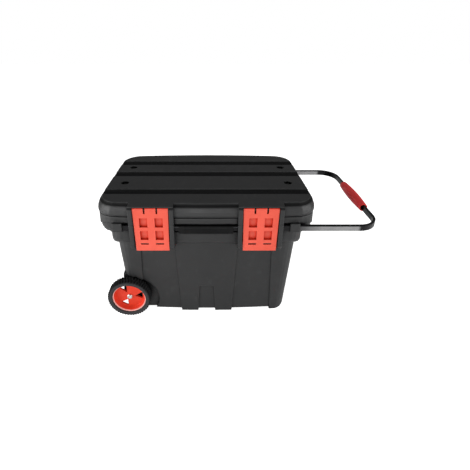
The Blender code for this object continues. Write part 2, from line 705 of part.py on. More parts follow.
def underside_cutters():
    """Everything below the floor that is not a foot."""
    strip_y = BASE_HALF_Y - FOOT_DEPTH
    low = -OVERRUN
    cutters = [box("under", (-RIM_HALF_X, -strip_y, low), (RIM_HALF_X, strip_y, FOOT_HEIGHT))]
    gaps = ((-RIM_HALF_X, -CENTRE_PANEL_FOOT_HALF), (-NOTCH_FOOT_HALF, NOTCH_FOOT_HALF),
            (CENTRE_PANEL_FOOT_HALF, POST_FOOT_X))
    for x0, x1 in gaps:
        cutters.append(box("under", (x0, -RIM_HALF_Y, low), (x1, RIM_HALF_Y, FOOT_HEIGHT)))
    return cutters


def bar_slots():
    """Blind slots for the two flat bars and for the stop pins on their inner faces."""
    cutters = []
    for side in (-1, 1):
        outer = side * (BAR_OUTER_Y + GAP)
        inner = side * (BAR_INNER_Y - GAP)
        channel = side * CHANNEL_HALF_Y
        cutters.append(box("bar_slot", (BAR_TAIL_X - 2 * GAP, min(outer, inner), BAR_FOOT_Z - GAP),
                           (RIM_HALF_X + OVERRUN, max(outer, inner), BAR_TOP_Z + GAP)))
        stop_half = STOP_HEAD_RADIUS + 2 * GAP
        inner += side * SINK
        cutters.append(box("stop_slot", (STOP_X - stop_half, min(inner, channel), BAR_MID_Z - stop_half),
                           (STOP_X + BAR_TRAVEL + stop_half, max(inner, channel), BAR_MID_Z + stop_half)))
    return cutters


def bin_cheek(x0, x1):
    """A side wall of a latch housing below the parting line, with a sloped foot."""
    wall_y = SINK + crown(max(abs(x0), abs(x1))) - wall_half_y(CHEEK_FOOT_Z)
    outline = [(CHEEK_FRONT_Y, CHEEK_PARTING_Z), (CHEEK_FRONT_Y, CHEEK_FOOT_Z + CHEEK_THICKNESS),
               (CHEEK_FRONT_Y + CHEEK_THICKNESS / 2, CHEEK_FOOT_Z), (wall_y, CHEEK_FOOT_Z),
               (wall_y, BAND_FRONT_FOOT_Z), (-MOUTH_HALF_Y - SINK, RAIL_TOP_Z),
               (-MOUTH_HALF_Y - SINK, CHEEK_PARTING_Z)]
    return extrude_x("cheek", outline, x0, x1)


def housing_sides():
    """The X ranges of the four housing cheeks."""
    ranges = []
    for middle in (-LATCH_X, LATCH_X):
        ranges.append((middle - HOUSING_HALF_WIDTH, middle - BAY_HALF_WIDTH))
        ranges.append((middle + BAY_HALF_WIDTH, middle + HOUSING_HALF_WIDTH))
    return ranges


def hinge_knuckle(x0, x1, arm_side):
    """A hinge barrel with an arm to the bin below the seam or to the lid above it."""
    root = crown(max(abs(x0), abs(x1))) + HINGE_ARM_ROOT
    neck_y = HINGE_AXIS_Y - HINGE_KNUCKLE_RADIUS
    outline = arc(HINGE_AXIS_Y, SEAM_Z, HINGE_KNUCKLE_RADIUS, -90, 90, CURVE_STEPS * 2)
    if arm_side < 0:
        outline += [(neck_y, SEAM_Z), (neck_y, SEAM_Z - SINK), (RIM_HALF_Y - root, SEAM_Z - SINK),
                    (RIM_HALF_Y - root, SEAM_Z - SINK - HINGE_ARM_HEIGHT)]
    else:
        outline += [(LID_HALF_Y - root, SEAM_Z + HINGE_ARM_HEIGHT + SINK),
                    (LID_HALF_Y - root, SEAM_Z + 2 * SINK),
                    (neck_y, SEAM_Z + 2 * SINK), (neck_y, SEAM_Z)]
    return extrude_x("knuckle", outline, x0, x1)


def hinge_ranges(first):
    """X ranges of every other knuckle on both hinges, starting with the given one."""
    ranges = []
    pitch = HINGE_KNUCKLE_LENGTH
    for middle in (-HINGE_X, HINGE_X):
        left = middle - pitch * HINGE_KNUCKLES / 2
        for index in range(first, HINGE_KNUCKLES, 2):
            start = left + pitch * index
            ranges.append((start + HINGE_KNUCKLE_GAP / 2, start + pitch - HINGE_KNUCKLE_GAP / 2))
    return ranges


def hinge_bores(target):
    """Bore both hinge lines for their pins."""
    half = HINGE_KNUCKLES * HINGE_KNUCKLE_LENGTH / 2 + OVERRUN
    for middle in (-HINGE_X, HINGE_X):
        cut(target, cylinder_x("bore", HINGE_AXIS_Y, SEAM_Z, PIN_HOLE_RADIUS, middle - half, middle + half))


def axle_lug(y0, y1):
    """A web in the axle step, with a rounded nose round the axle."""
    outline = [(STEP_WALL_X + SINK, STEP_TOP_Z + SINK), (WHEEL_X - LUG_TOP_REACH, STEP_TOP_Z + SINK)]
    outline += arc(WHEEL_X, WHEEL_RADIUS, LUG_REACH, 180, 270, CURVE_STEPS)
    outline.append((STEP_WALL_X + SINK, WHEEL_RADIUS - LUG_REACH - LUG_SLOPE))
    return extrude_y("axle_lug", outline, y0, y1)


def build_bin():
    """The bin with its rim, housings, bar guides, wheel step, lugs, feet and rails."""
    body = bin_outer()
    cavity = bin_cavity()
    for block in relief_blocks(WALL, RELIEF + WALL, FOOT_HEIGHT):
        cut(cavity, block)
    for block in wheel_step(WALL):
        cut(cavity, block)
    cut(body, cavity)
    for block in relief_blocks(0.0, RELIEF, -OVERRUN):
        cut(body, block)
    for block in wheel_step(0.0):
        cut(body, block)
    for block in underside_cutters():
        cut(body, block)

    # The flange is cut back where the lid's latch housings come down over it
    for middle in (-LATCH_X, LATCH_X):
        for half, foot_z in ((HOUSING_HALF_WIDTH + GAP, CHEEK_PARTING_Z),
                             (BAY_HALF_WIDTH, FLANGE_FOOT_Z - BAND_STEP)):
            cut(body, box("flange_notch", (middle - half, -RIM_HALF_Y - OVERRUN, foot_z),
                          (middle + half, BAY_BACK_Y, SEAM_Z + OVERRUN)))

    # Housing cheeks at the front, then guides that hold the bar to the channel from above
    # and carry it on a pad
    for x0, x1 in housing_sides():
        join(body, bin_cheek(x0, x1))
    guides = []
    for hand in (-1, 1):
        for side in (-1, 1):
            guides.append((hand, side, GUIDE_INNER_X, GUIDE_OUTER_X))
    guides.append((1, 1, REAR_GUIDE_X, REAR_GUIDE_X + REAR_GUIDE_LENGTH))
    levels = ((GUIDE_FRONT_Y, BAR_FOOT_Z, FLANGE_FOOT_Z + SINK / 2),
              (GUIDE_FRONT_Y - GUIDE_PAD_INSET, BAND_FRONT_TOP_Z - SINK, BAR_FOOT_Z + SINK))
    for hand, side, near_x, far_x in guides:
        for front_y, foot_z, top_z in levels:
            outline = []
            for x in (near_x, far_x):
                y = corner_y(x, RIM_HALF_X - SKIRT_CURVE_DEPTH, CHANNEL_HALF_Y, RIM_RADIUS) - 2 * SINK
                outline.append((hand * x, side * y))
            outline.append((hand * far_x, side * front_y))
            outline.append((hand * near_x, side * front_y))
            join(body, extrude_z("guide", outline, foot_z, top_z))
    for cutter in bar_slots():
        cut(body, cutter)

    # Ribs that catch the stop pins when the handle is drawn fully out
    rib_start = STOP_X + BAR_TRAVEL + STOP_HEAD_RADIUS + GAP
    for side in (-1, 1):
        ends = sorted((side * (CHANNEL_HALF_Y - SINK), side * (BAR_INNER_Y - GAP)))
        join(body, box("stop_rib", (rib_start, ends[0], BAR_MID_Z - STOP_RIB_HEIGHT / 2),
                       (rib_start + STOP_RIB_LENGTH, ends[1], BAR_MID_Z + STOP_RIB_HEIGHT / 2)))

    # Catch teeth behind the latch slots
    tooth_tip = LATCH_FRONT_Y + LATCH_PLATE + GAP
    for middle in (-LATCH_X, LATCH_X):
        for hand in (-1, 1):
            tooth_x = middle + hand * LATCH_WINDOW_X
            outline = [(-CHANNEL_HALF_Y + SINK, LATCH_SLOT_Z + 2 * TOOTH_HEIGHT),
                       (tooth_tip, LATCH_SLOT_Z + TOOTH_HEIGHT / 2),
                       (tooth_tip, LATCH_SLOT_Z - TOOTH_HEIGHT / 2),
                       (-CHANNEL_HALF_Y + SINK, LATCH_SLOT_Z - 2 * TOOTH_HEIGHT)]
            join(body, extrude_x("tooth", outline, tooth_x - TOOTH_WIDTH / 2, tooth_x + TOOTH_WIDTH / 2))

    # Axle lugs in the step, bored together
    outer_face = WELL_DEPTH_Y - GAP
    for side in (-1, 1):
        join(body, axle_lug(*sorted((side * outer_face, side * (outer_face - LUG_THICKNESS)))))
        join(body, axle_lug(*sorted((side * INNER_LUG_Y, side * (INNER_LUG_Y + INNER_LUG_THICKNESS)))))
        ends = sorted((side * (outer_face - SINK), side * (HUB_BACK_Y - WASHER_THICKNESS - 2 * GAP)))
        join(body, cylinder_y("lug_boss", WHEEL_X, WHEEL_RADIUS, WASHER_RADIUS, *ends))
    cut(body, cylinder_y("axle_bore", WHEEL_X, WHEEL_RADIUS, AXLE_RADIUS + GAP, -RIM_HALF_Y, RIM_HALF_Y))

    # Tray rails along both long walls, and the tongue that the lid fits over
    for side in (-1, 1):
        ends = sorted((side * (MOUTH_HALF_Y - RAIL_WIDTH), side * (MOUTH_HALF_Y + SINK / 2)))
        join(body, box("rail", (-RAIL_HALF_LENGTH, ends[0], RAIL_TOP_Z - RAIL_HEIGHT),
                       (RAIL_HALF_LENGTH, ends[1], RAIL_TOP_Z)))
    tongue = [rounded_ring(TONGUE_HALF_X, TONGUE_HALF_Y, RIM_RADIUS - WALL, SEAM_Z - SINK),
              rounded_ring(TONGUE_HALF_X, TONGUE_HALF_Y, RIM_RADIUS - WALL, SEAM_Z + TONGUE_HEIGHT)]
    inside = RIM_RADIUS - WALL - TONGUE_THICKNESS
    for z in (SEAM_Z + TONGUE_HEIGHT, SEAM_Z - SINK):
        tongue.append(rounded_ring(TONGUE_HALF_X - TONGUE_THICKNESS, TONGUE_HALF_Y - TONGUE_THICKNESS,
                                   inside, z))
    join(body, loft_loop("tongue", tongue))

    # Hinge knuckles and the holes for the carry handle's pins
    for x0, x1 in hinge_ranges(0):
        join(body, hinge_knuckle(x0, x1, -1))
    hinge_bores(body)
    for side in (-1, 1):
        ends = sorted((side * (CARRY_BAY_HALF - OVERRUN), side * (CARRY_BAY_HALF + CARRY_PIN_GRIP + GAP)))
        cut(body, cylinder_x("pin_hole", CARRY_PIVOT_Y, CARRY_PIVOT_Z, PIN_HOLE_RADIUS, *ends))
    return body


def lid_rings(inset, foot_z, drop):
    """Rings of the lid's outside, or of its inside when inset by the wall."""
    rows = []
    for inset_share, height_share in LID_PROFILE_SHARES:
        z = SEAM_Z + LID_HEIGHT * height_share - drop if rows else foot_z
        rows.append((LID_HALF_X - LID_TOP_INSET_X * inset_share,
                     LID_HALF_Y - LID_TOP_INSET_Y * inset_share, z))
    for step in range(LID_EDGE_STEPS + 1):
        angle = math.pi / 2 * step / LID_EDGE_STEPS
        back = LID_EDGE_ROUND * (1 - math.cos(angle))
        down = LID_EDGE_ROUND * (1 - math.sin(angle))
        rows.append((LID_TOP_HALF_X - back, LID_TOP_HALF_Y - back, LID_TOP_Z - down - drop))
    return [bowed_ring(half_x - inset, half_y - inset, LID_RADIUS - inset, z) for half_x, half_y, z in rows]


def groove_blocks(margin, depth):
    """Sloped-sided bars along X: the grooves, or with a margin the wall beneath them."""
    blocks = []
    for shares in GROOVE_SHARES:
        y0, y1 = (LID_TOP_HALF_Y * share for share in shares)
        low = (y0 + GROOVE_SLOPE - margin, y1 - GROOVE_SLOPE + margin)
        high = (y0 - margin, y1 + margin)
        rise = OVERRUN * GROOVE_SLOPE / GROOVE_DEPTH
        outline = [(low[0], LID_TOP_Z - depth), (low[1], LID_TOP_Z - depth),
                   (high[1] + rise, LID_TOP_Z + OVERRUN), (high[0] - rise, LID_TOP_Z + OVERRUN)]
        blocks.append(extrude_x("groove", outline, -LID_HALF_X - OVERRUN, LID_HALF_X + OVERRUN))
    return blocks


def lid_bays(margin, floor_z):
    """The pocket behind each latch, or with a margin the wall round it."""
    blocks = []
    for middle in (-LATCH_X, LATCH_X):
        half = BAY_HALF_WIDTH + margin
        blocks.append(box("bay", (middle - half, CHEEK_FRONT_Y - OVERRUN, floor_z),
                          (middle + half, BAY_BACK_Y + margin, HOOD_FOOT_Z)))
    return blocks


def housing_root(x):
    """Where the lid's flat top starts, at a distance along its long side."""
    return crown(x) + LID_EDGE_ROUND - LID_TOP_HALF_Y


def lid_cheek(x0, x1):
    """A side wall of a latch housing: it reaches below the seam in front of the bin."""
    root_y = housing_root(max(abs(x0), abs(x1)))
    seam_y = BAY_BACK_Y + WALL - SINK
    above_tongue = SEAM_Z + 2 * TONGUE_HEIGHT
    outline = [(CHEEK_FRONT_Y, CHEEK_PARTING_Z + GAP), (LID_CHEEK_BACK_Y, CHEEK_PARTING_Z + GAP),
               (LID_CHEEK_BACK_Y, SEAM_Z + GAP), (seam_y, SEAM_Z + GAP), (seam_y, above_tongue),
               (root_y, above_tongue + SINK), (root_y, LID_TOP_Z - SINK),
               (CHEEK_FRONT_Y + SINK, LID_TOP_Z - SINK / 2),
               (CHEEK_FRONT_Y, LID_TOP_Z - 2 * SINK)]
    return extrude_x("lid_cheek", outline, x0, x1)


def latch_lug(x):
    """A lid lug that carries the latch pin in one notch of the latch."""
    nose = arc(LATCH_PIVOT_Y, LATCH_PIVOT_Z, LUG_RADIUS, 90, 270, CURVE_STEPS * 2)
    outline = nose + [(BAY_BACK_Y + SINK, LATCH_PIVOT_Z - LUG_RADIUS),
                      (BAY_BACK_Y + SINK, LATCH_PIVOT_Z + LUG_RADIUS)]
    return extrude_x("latch_lug", outline, x - LUG_WIDTH / 2, x + LUG_WIDTH / 2)


def build_lid():
    """The lid shell with its grooves, dimples, latch housings, ribs and hinge knuckles."""
    shell = loft("lid", lid_rings(0.0, SEAM_Z + GAP, 0.0))
    cavity = loft("lid_cavity", lid_rings(WALL, SEAM_Z - OVERRUN, WALL))
    for block in groove_blocks(WALL, GROOVE_DEPTH + WALL):
        cut(cavity, block)
    for block in lid_bays(WALL, SEAM_Z - 2 * OVERRUN):
        cut(cavity, block)
    dimple_rows = [LID_TOP_HALF_Y * share for share in DIMPLE_SHARES]
    for x in (-DIMPLE_X, DIMPLE_X):
        for y in dimple_rows:
            cut(cavity, cylinder_z("dimple_wall", x, y, DIMPLE_RADIUS + WALL,
                                   LID_TOP_Z - DIMPLE_DEPTH - WALL, LID_TOP_Z))

    # Stiffening ribs stay standing under the top
    pitch = 2 * LID_TOP_HALF_X / (LID_RIB_COUNT + 1)
    rib_foot = LID_TOP_Z - GROOVE_DEPTH - WALL - LID_RIB_DEPTH
    for index in range(LID_RIB_COUNT):
        x = -LID_TOP_HALF_X + pitch * (index + 1)
        cut(cavity, box("lid_rib", (x - LID_RIB_THICKNESS / 2, -LID_RIB_SPAN_Y, rib_foot),
                        (x + LID_RIB_THICKNESS / 2, LID_RIB_SPAN_Y, LID_TOP_Z)))
    cut(shell, cavity)
    for block in groove_blocks(0.0, GROOVE_DEPTH):
        cut(shell, block)
    for x in (-DIMPLE_X, DIMPLE_X):
        for y in dimple_rows:
            floor = LID_TOP_Z - DIMPLE_DEPTH
            cut(shell, cylinder_z("dimple", x, y, DIMPLE_RADIUS, floor, LID_TOP_Z + OVERRUN))
            join(shell, cylinder_z("dimple_boss", x, y, DIMPLE_BOSS_RADIUS, floor - SINK,
                                   floor + DIMPLE_BOSS_HEIGHT))

    # Latch housings: hood, cheeks and the lugs between the latch knuckles
    hood_root = housing_root(LATCH_X + HOUSING_HALF_WIDTH)
    for middle in (-LATCH_X, LATCH_X):
        join(shell, box("hood", (middle - HOUSING_HALF_WIDTH + SINK, CHEEK_FRONT_Y, HOOD_FOOT_Z),
                        (middle + HOUSING_HALF_WIDTH - SINK, hood_root, LID_TOP_Z - SINK / 4)))
    for block in lid_bays(0.0, SEAM_Z - OVERRUN):
        cut(shell, block)
    for x0, x1 in housing_sides():
        join(shell, lid_cheek(x0, x1))
    for middle in (-LATCH_X, LATCH_X):
        for hand in (-1, 1):
            join(shell, latch_lug(middle + hand * LATCH_NOTCH_X))
        half = BAY_HALF_WIDTH + CHEEK_THICKNESS - WALL
        cut(shell, cylinder_x("pin_bore", LATCH_PIVOT_Y, LATCH_PIVOT_Z, PIN_HOLE_RADIUS,
                              middle - half, middle + half))
    for x0, x1 in hinge_ranges(1):
        join(shell, hinge_knuckle(x0, x1, 1))
    hinge_bores(shell)
    return shell


def build_latch(name):
    """A latch about its own pivot: knuckle, plate, windows, notches and hook slots."""
    foot = LATCH_FOOT_Z - LATCH_PIVOT_Z
    thin = LATCH_THIN_Z - LATCH_PIVOT_Z
    front = LATCH_FRONT_Y - LATCH_PIVOT_Y
    back = front + LATCH_DEPTH
    plate_back = front + LATCH_PLATE
    knuckle_start = math.degrees(math.acos(back / LATCH_KNUCKLE_RADIUS))
    outline = arc(0.0, 0.0, LATCH_KNUCKLE_RADIUS, knuckle_start, 180, ROUND_STEPS // 2)
    outline += [(front, foot), (plate_back, foot), (plate_back, thin - LATCH_PLATE), (back, thin)]
    half = LATCH_TOP_WIDTH / 2
    latch = extrude_x(name, outline, -half, half)
    for vertex in latch.data.vertices:
        vertex.co.x *= mix(1.0, LATCH_FOOT_WIDTH / LATCH_TOP_WIDTH, min(1.0, max(0.0, vertex.co.z / foot)))
    reach = LATCH_DEPTH + OVERRUN

    # Windows and hook slots from the front
    for hand in (-1, 1):
        x = hand * LATCH_WINDOW_X
        x0 = x - LATCH_WINDOW_WIDTH / 2
        x1 = x + LATCH_WINDOW_WIDTH / 2
        for row in range(LATCH_WINDOW_ROWS):
            z = SEAM_Z - LATCH_WINDOW_DROP - LATCH_WINDOW_PITCH * row - LATCH_PIVOT_Z
            cut(latch, box("window", (x0, front - OVERRUN, z - LATCH_WINDOW_HEIGHT / 2),
                           (x1, front + LATCH_WINDOW_DEPTH, z + LATCH_WINDOW_HEIGHT / 2)))
        z = LATCH_SLOT_Z - LATCH_PIVOT_Z
        cut(latch, box("hook_slot", (x0, front - OVERRUN, z - LATCH_SLOT_HEIGHT / 2),
                       (x1, front + reach, z + LATCH_SLOT_HEIGHT / 2)))
        notch_x = hand * LATCH_NOTCH_X
        cut(latch, box("notch", (notch_x - LATCH_NOTCH_WIDTH / 2, front - OVERRUN,
                                 LATCH_KNUCKLE_RADIUS - LATCH_NOTCH_HEIGHT),
                       (notch_x + LATCH_NOTCH_WIDTH / 2, front + reach, LATCH_KNUCKLE_RADIUS + OVERRUN)))

    # Hollows in the back, which leave ribs round the windows
    inner = LATCH_WINDOW_X - LATCH_WINDOW_WIDTH / 2 - LATCH_RIB
    outer = LATCH_WINDOW_X + LATCH_WINDOW_WIDTH / 2 + LATCH_RIB
    edge = LATCH_FOOT_WIDTH / 2 - LATCH_RIB
    hollow_top = LATCH_KNUCKLE_RADIUS - LATCH_NOTCH_HEIGHT
    for x0, x1 in ((-inner, inner), (outer, edge), (-edge, -outer)):
        cut(latch, box("hollow", (x0, plate_back, thin + LATCH_RIB), (x1, front + reach, hollow_top)))
    cut(latch, cylinder_x("bore", 0.0, 0.0, PIN_HOLE_RADIUS, -half - OVERRUN, half + OVERRUN))
    return latch


def handle_path():
    """Centre line of the U bar in plan, as (x, y, heading) from front tail to rear tail."""
    bend_x = CROSS_BAR_X - BAR_BEND_RADIUS
    bend_y = BAR_MID_Y - BAR_BEND_RADIUS
    path = [(BAR_TAIL_X, -BAR_MID_Y, 0.0)]
    for quarter, middle_y in ((0, -bend_y), (1, bend_y)):
        for step in range(BAR_BEND_STEPS + 1):
            heading = math.pi / 2 * (quarter + step / BAR_BEND_STEPS)
            path.append((bend_x + BAR_BEND_RADIUS * math.sin(heading),
                         middle_y - BAR_BEND_RADIUS * math.cos(heading), heading))
    path.append((BAR_TAIL_X, BAR_MID_Y, math.pi))
    return path


def bar_section(x, y, heading, half_thickness, half_height, edge):
    """A flat bar's section with broken corners, square to its heading."""
    across = (-math.sin(heading), math.cos(heading))
    corners = []
    for side, level in ((1, 1), (-1, 1), (-1, -1), (1, -1)):
        first = (half_thickness, half_height - edge)
        second = (half_thickness - edge, half_height)
        pair = (first, second) if side * level > 0 else (second, first)
        for offset, height in pair:
            corners.append((x + across[0] * side * offset, y + across[1] * side * offset,
                            BAR_MID_Z + level * height))
    return corners


def build_pull_bar():
    """The U bar, bored near both tails for its stop pins."""
    sections = []
    for x, y, heading in handle_path():
        sections.append(bar_section(x, y, heading, BAR_THICKNESS / 2, BAR_HEIGHT / 2, BAR_EDGE))
    bar = loft("pull_bar", sections)
    for side in (-1, 1):
        ends = sorted((side * (BAR_INNER_Y - OVERRUN), side * (BAR_OUTER_Y + OVERRUN)))
        cut(bar, cylinder_y("rivet_hole", STOP_X, BAR_MID_Z, STOP_RADIUS + GAP, *ends))
    return bar


def build_pull_grip():
    """A barrel grip moulded over the cross bar, with a socket round the bar at each end."""
    rings = []
    for station in range(GRIP_STATIONS + 1):
        share = 2 * station / GRIP_STATIONS - 1
        radius = GRIP_END_RADIUS + (GRIP_RADIUS - GRIP_END_RADIUS) * math.cos(share * math.pi / 2)
        y = share * GRIP_HALF_LENGTH
        rings.append([(px, y, pz) for px, pz in circle(CROSS_BAR_X, BAR_MID_Z, radius, GRIP_SIDES)])
    grip = loft("pull_grip", rings)
    half_x = BAR_THICKNESS / 2 + GAP
    half_z = BAR_HEIGHT / 2 + GAP
    reach = GRIP_HALF_LENGTH + OVERRUN
    cut(grip, box("bar_hole", (CROSS_BAR_X - half_x, -reach, BAR_MID_Z - half_z),
                  (CROSS_BAR_X + half_x, reach, BAR_MID_Z + half_z)))
    for side in (-1, 1):
        ends = sorted((side * (GRIP_HALF_LENGTH - GRIP_SOCKET_DEPTH), side * reach))
        cut(grip, cylinder_y("socket", CROSS_BAR_X, BAR_MID_Z, GRIP_SOCKET_RADIUS, *ends))
    return grip


def build_stop_pin(name, side):
    """A rivet through a bar tail whose inner end runs along the channel wall."""
    shank_outer = BAR_OUTER_Y - GAP
    head_outer = BAR_INNER_Y - GAP
    head_inner = BAR_INNER_Y - STOP_REACH
    profile = [(STOP_RADIUS, shank_outer), (STOP_RADIUS, head_outer), (STOP_HEAD_RADIUS, head_outer),
               (STOP_HEAD_RADIUS, head_inner + STOP_HEAD), (STOP_HEAD_RADIUS - STOP_HEAD, head_inner)]
    rings = [[(px, side * y, pz) for px, pz in circle(STOP_X, BAR_MID_Z, r, ROUND_STEPS)] for r, y in profile]
    return loft(name, rings)


def carry_section(x, grow, rib):
    """A section of the carry handle: round nose about the pivot, front with ridges, foot."""
    depth = CARRY_HALF_DEPTH + grow
    back = CARRY_PIVOT_Y + CARRY_HALF_DEPTH + min(grow, 0.0)
    front = CARRY_PIVOT_Y - depth
    foot = CARRY_PIVOT_Z - CARRY_FOOT_DROP - grow
    outline = arc(CARRY_PIVOT_Y, CARRY_PIVOT_Z, depth, 0, 180, CARRY_TOP_STEPS)
    outline = [(min(y, back), z) for y, z in outline]
    pitch = (CARRY_PIVOT_Z - foot) / CARRY_RIBS
    for index in range(CARRY_RIBS):
        level = CARRY_PIVOT_Z - pitch * index
        outline.append((front - rib, level - pitch / 3))
        outline.append((front - rib, level - 2 * pitch / 3))
        if index < CARRY_RIBS - 1:
            outline.append((front, level - pitch))
    outline.append((front + CARRY_RIB_DEPTH, foot))
    outline.append((back, foot))
    return [(x, y, z) for y, z in outline]


def build_carry_handle():
    """The grip, its collars and its end blocks, lofted along X and bored for the pins."""
    block_x = CARRY_HALF_WIDTH - CARRY_BLOCK_WIDTH
    collar_x = block_x - CARRY_COLLAR_WIDTH
    narrow = -CARRY_BLOCK_NARROWING
    half = [(CARRY_HALF_WIDTH, narrow, 0.0), (CARRY_HALF_WIDTH + narrow, 0.0, 0.0), (block_x + GAP, 0.0, 0.0),
            (block_x, CARRY_RIB_DEPTH, 0.0), (collar_x, CARRY_RIB_DEPTH, 0.0),
            (collar_x - GAP, 0.0, CARRY_RIB_DEPTH)]
    sections = [carry_section(-x, grow, rib) for x, grow, rib in half]
    sections += [carry_section(x, grow, rib) for x, grow, rib in reversed(half)]
    handle = loft("carry_handle", sections)
    for side in (-1, 1):
        hole = sorted((side * (CARRY_HALF_WIDTH - CARRY_PIN_GRIP - GAP), side * (CARRY_HALF_WIDTH + OVERRUN)))
        cut(handle, cylinder_x("pin_hole", CARRY_PIVOT_Y, CARRY_PIVOT_Z, PIN_HOLE_RADIUS, *hole))
    return handle


def build_tyre(name, side):
    """A solid tyre whose tread lugs alternate between its two shoulders."""
    half = TYRE_WIDTH / 2
    seat = HUB_RADIUS + GAP
    shoulder = half - TYRE_SIDE_ROUND
    segments = TREAD_LUGS * 2
    rings = []
    for segment in range(segments):
        angle = 2 * math.pi * segment / segments
        outer_top = WHEEL_RADIUS - TREAD_DEPTH * (segment % 2)
        inner_top = WHEEL_RADIUS - TREAD_DEPTH * (1 - segment % 2)
        profile = [(seat, -half + TYRE_BEAD), (seat, half - TYRE_BEAD), (seat + TYRE_BEAD, half),
                   (TYRE_SIDE_TOP, half), (outer_top, shoulder), (outer_top, TREAD_CROWN / 2),
                   (inner_top, -TREAD_CROWN / 2), (inner_top, -shoulder), (TYRE_SIDE_TOP, -half),
                   (seat + TYRE_BEAD, -half)]
        rings.append([(WHEEL_X + r * math.cos(angle), side * (WHEEL_MID_Y + y),
                       WHEEL_RADIUS + r * math.sin(angle)) for r, y in profile])
    return loft_loop(name, rings)


def build_hub(name, side):
    """A deep hub with a lip, a shallow cone of a web, three windows and a bored boss."""
    half = HUB_WIDTH / 2
    bore = AXLE_RADIUS + GAP
    centre = half - HUB_DISH + HUB_CONE
    edge = half - HUB_DISH
    inside = HUB_RADIUS - HUB_LIP
    profile = [(bore, -half), (HUB_BOSS_RADIUS, -half), (HUB_BOSS_RADIUS + HUB_WEB, centre - 2 * HUB_WEB),
               (inside - HUB_WEB, edge - HUB_WEB), (inside, -half), (HUB_RADIUS, -half),
               (HUB_RADIUS, half - HUB_LIP / 2), (HUB_RADIUS - HUB_LIP / 4, half),
               (inside + HUB_LIP / 4, half), (inside, half - HUB_LIP / 2), (inside - HUB_WEB, edge),
               (HUB_BOSS_RADIUS + HUB_WEB, centre - HUB_LIP / 4), (HUB_BOSS_RADIUS, centre), (bore, centre)]
    outline = [(r, side * (WHEEL_MID_Y + y)) for r, y in profile]
    hub = lathe_y(name, WHEEL_X, WHEEL_RADIUS, outline, HUB_SEGMENTS)
    for index in range(WINDOW_COUNT):
        turn = 2 * math.pi * index / WINDOW_COUNT
        corners = ((WINDOW_INNER_RADIUS, 0.0), (WINDOW_OUTER_RADIUS, WINDOW_HALF_WIDTH),
                   (WINDOW_OUTER_RADIUS, -WINDOW_HALF_WIDTH))
        outline = []
        for along, across in corners:
            outline.append((WHEEL_X + along * math.cos(turn) - across * math.sin(turn),
                            WHEEL_RADIUS + along * math.sin(turn) + across * math.cos(turn)))
        ends = sorted((side * (WHEEL_MID_Y - half), side * (WHEEL_MID_Y + half)))
        cut(hub, extrude_y("window", outline, *ends))
    return hub


def build_axle():
    """A plain steel rod that ends inside both push caps."""
    end = HUB_FACE_Y + GAP + CAP_BORE_DEPTH - GAP
    return cylinder_y("axle", WHEEL_X, WHEEL_RADIUS, AXLE_RADIUS, -end, end, 2 * ROUND_STEPS)


def build_axle_cap(name, side):
    """A domed push cap over one end of the axle, just clear of the hub boss."""
    start = HUB_FACE_Y + GAP
    bore = AXLE_RADIUS + GAP
    floor = start + CAP_BORE_DEPTH
    end = start + CAP_LENGTH
    outside = [(CAP_RADIUS, start), (CAP_RADIUS, end - CAP_DOME), (CAP_RADIUS - CAP_DOME, end),
               (CAP_DIMPLE_RADIUS, end), (CAP_DIMPLE_RADIUS - CAP_DIMPLE_DEPTH, end - CAP_DIMPLE_DEPTH)]
    inside = [(bore, start), (bore, floor)]
    rings = []
    for r, y in list(reversed(inside)) + outside:
        rings.append([(px, side * y, pz) for px, pz in circle(WHEEL_X, WHEEL_RADIUS, r, 2 * ROUND_STEPS)])
    return loft(name, rings)


def build_washer(name, side):
    """A flat washer between the axle lug and the hub."""
    start = HUB_BACK_Y - GAP - WASHER_THICKNESS
    bore = AXLE_RADIUS + GAP
    profile = [(bore, side * start), (WASHER_RADIUS, side * start),
               (WASHER_RADIUS, side * (start + WASHER_THICKNESS)), (bore, side * (start + WASHER_THICKNESS))]
    return lathe_y(name, WHEEL_X, WHEEL_RADIUS, profile, 2 * ROUND_STEPS)


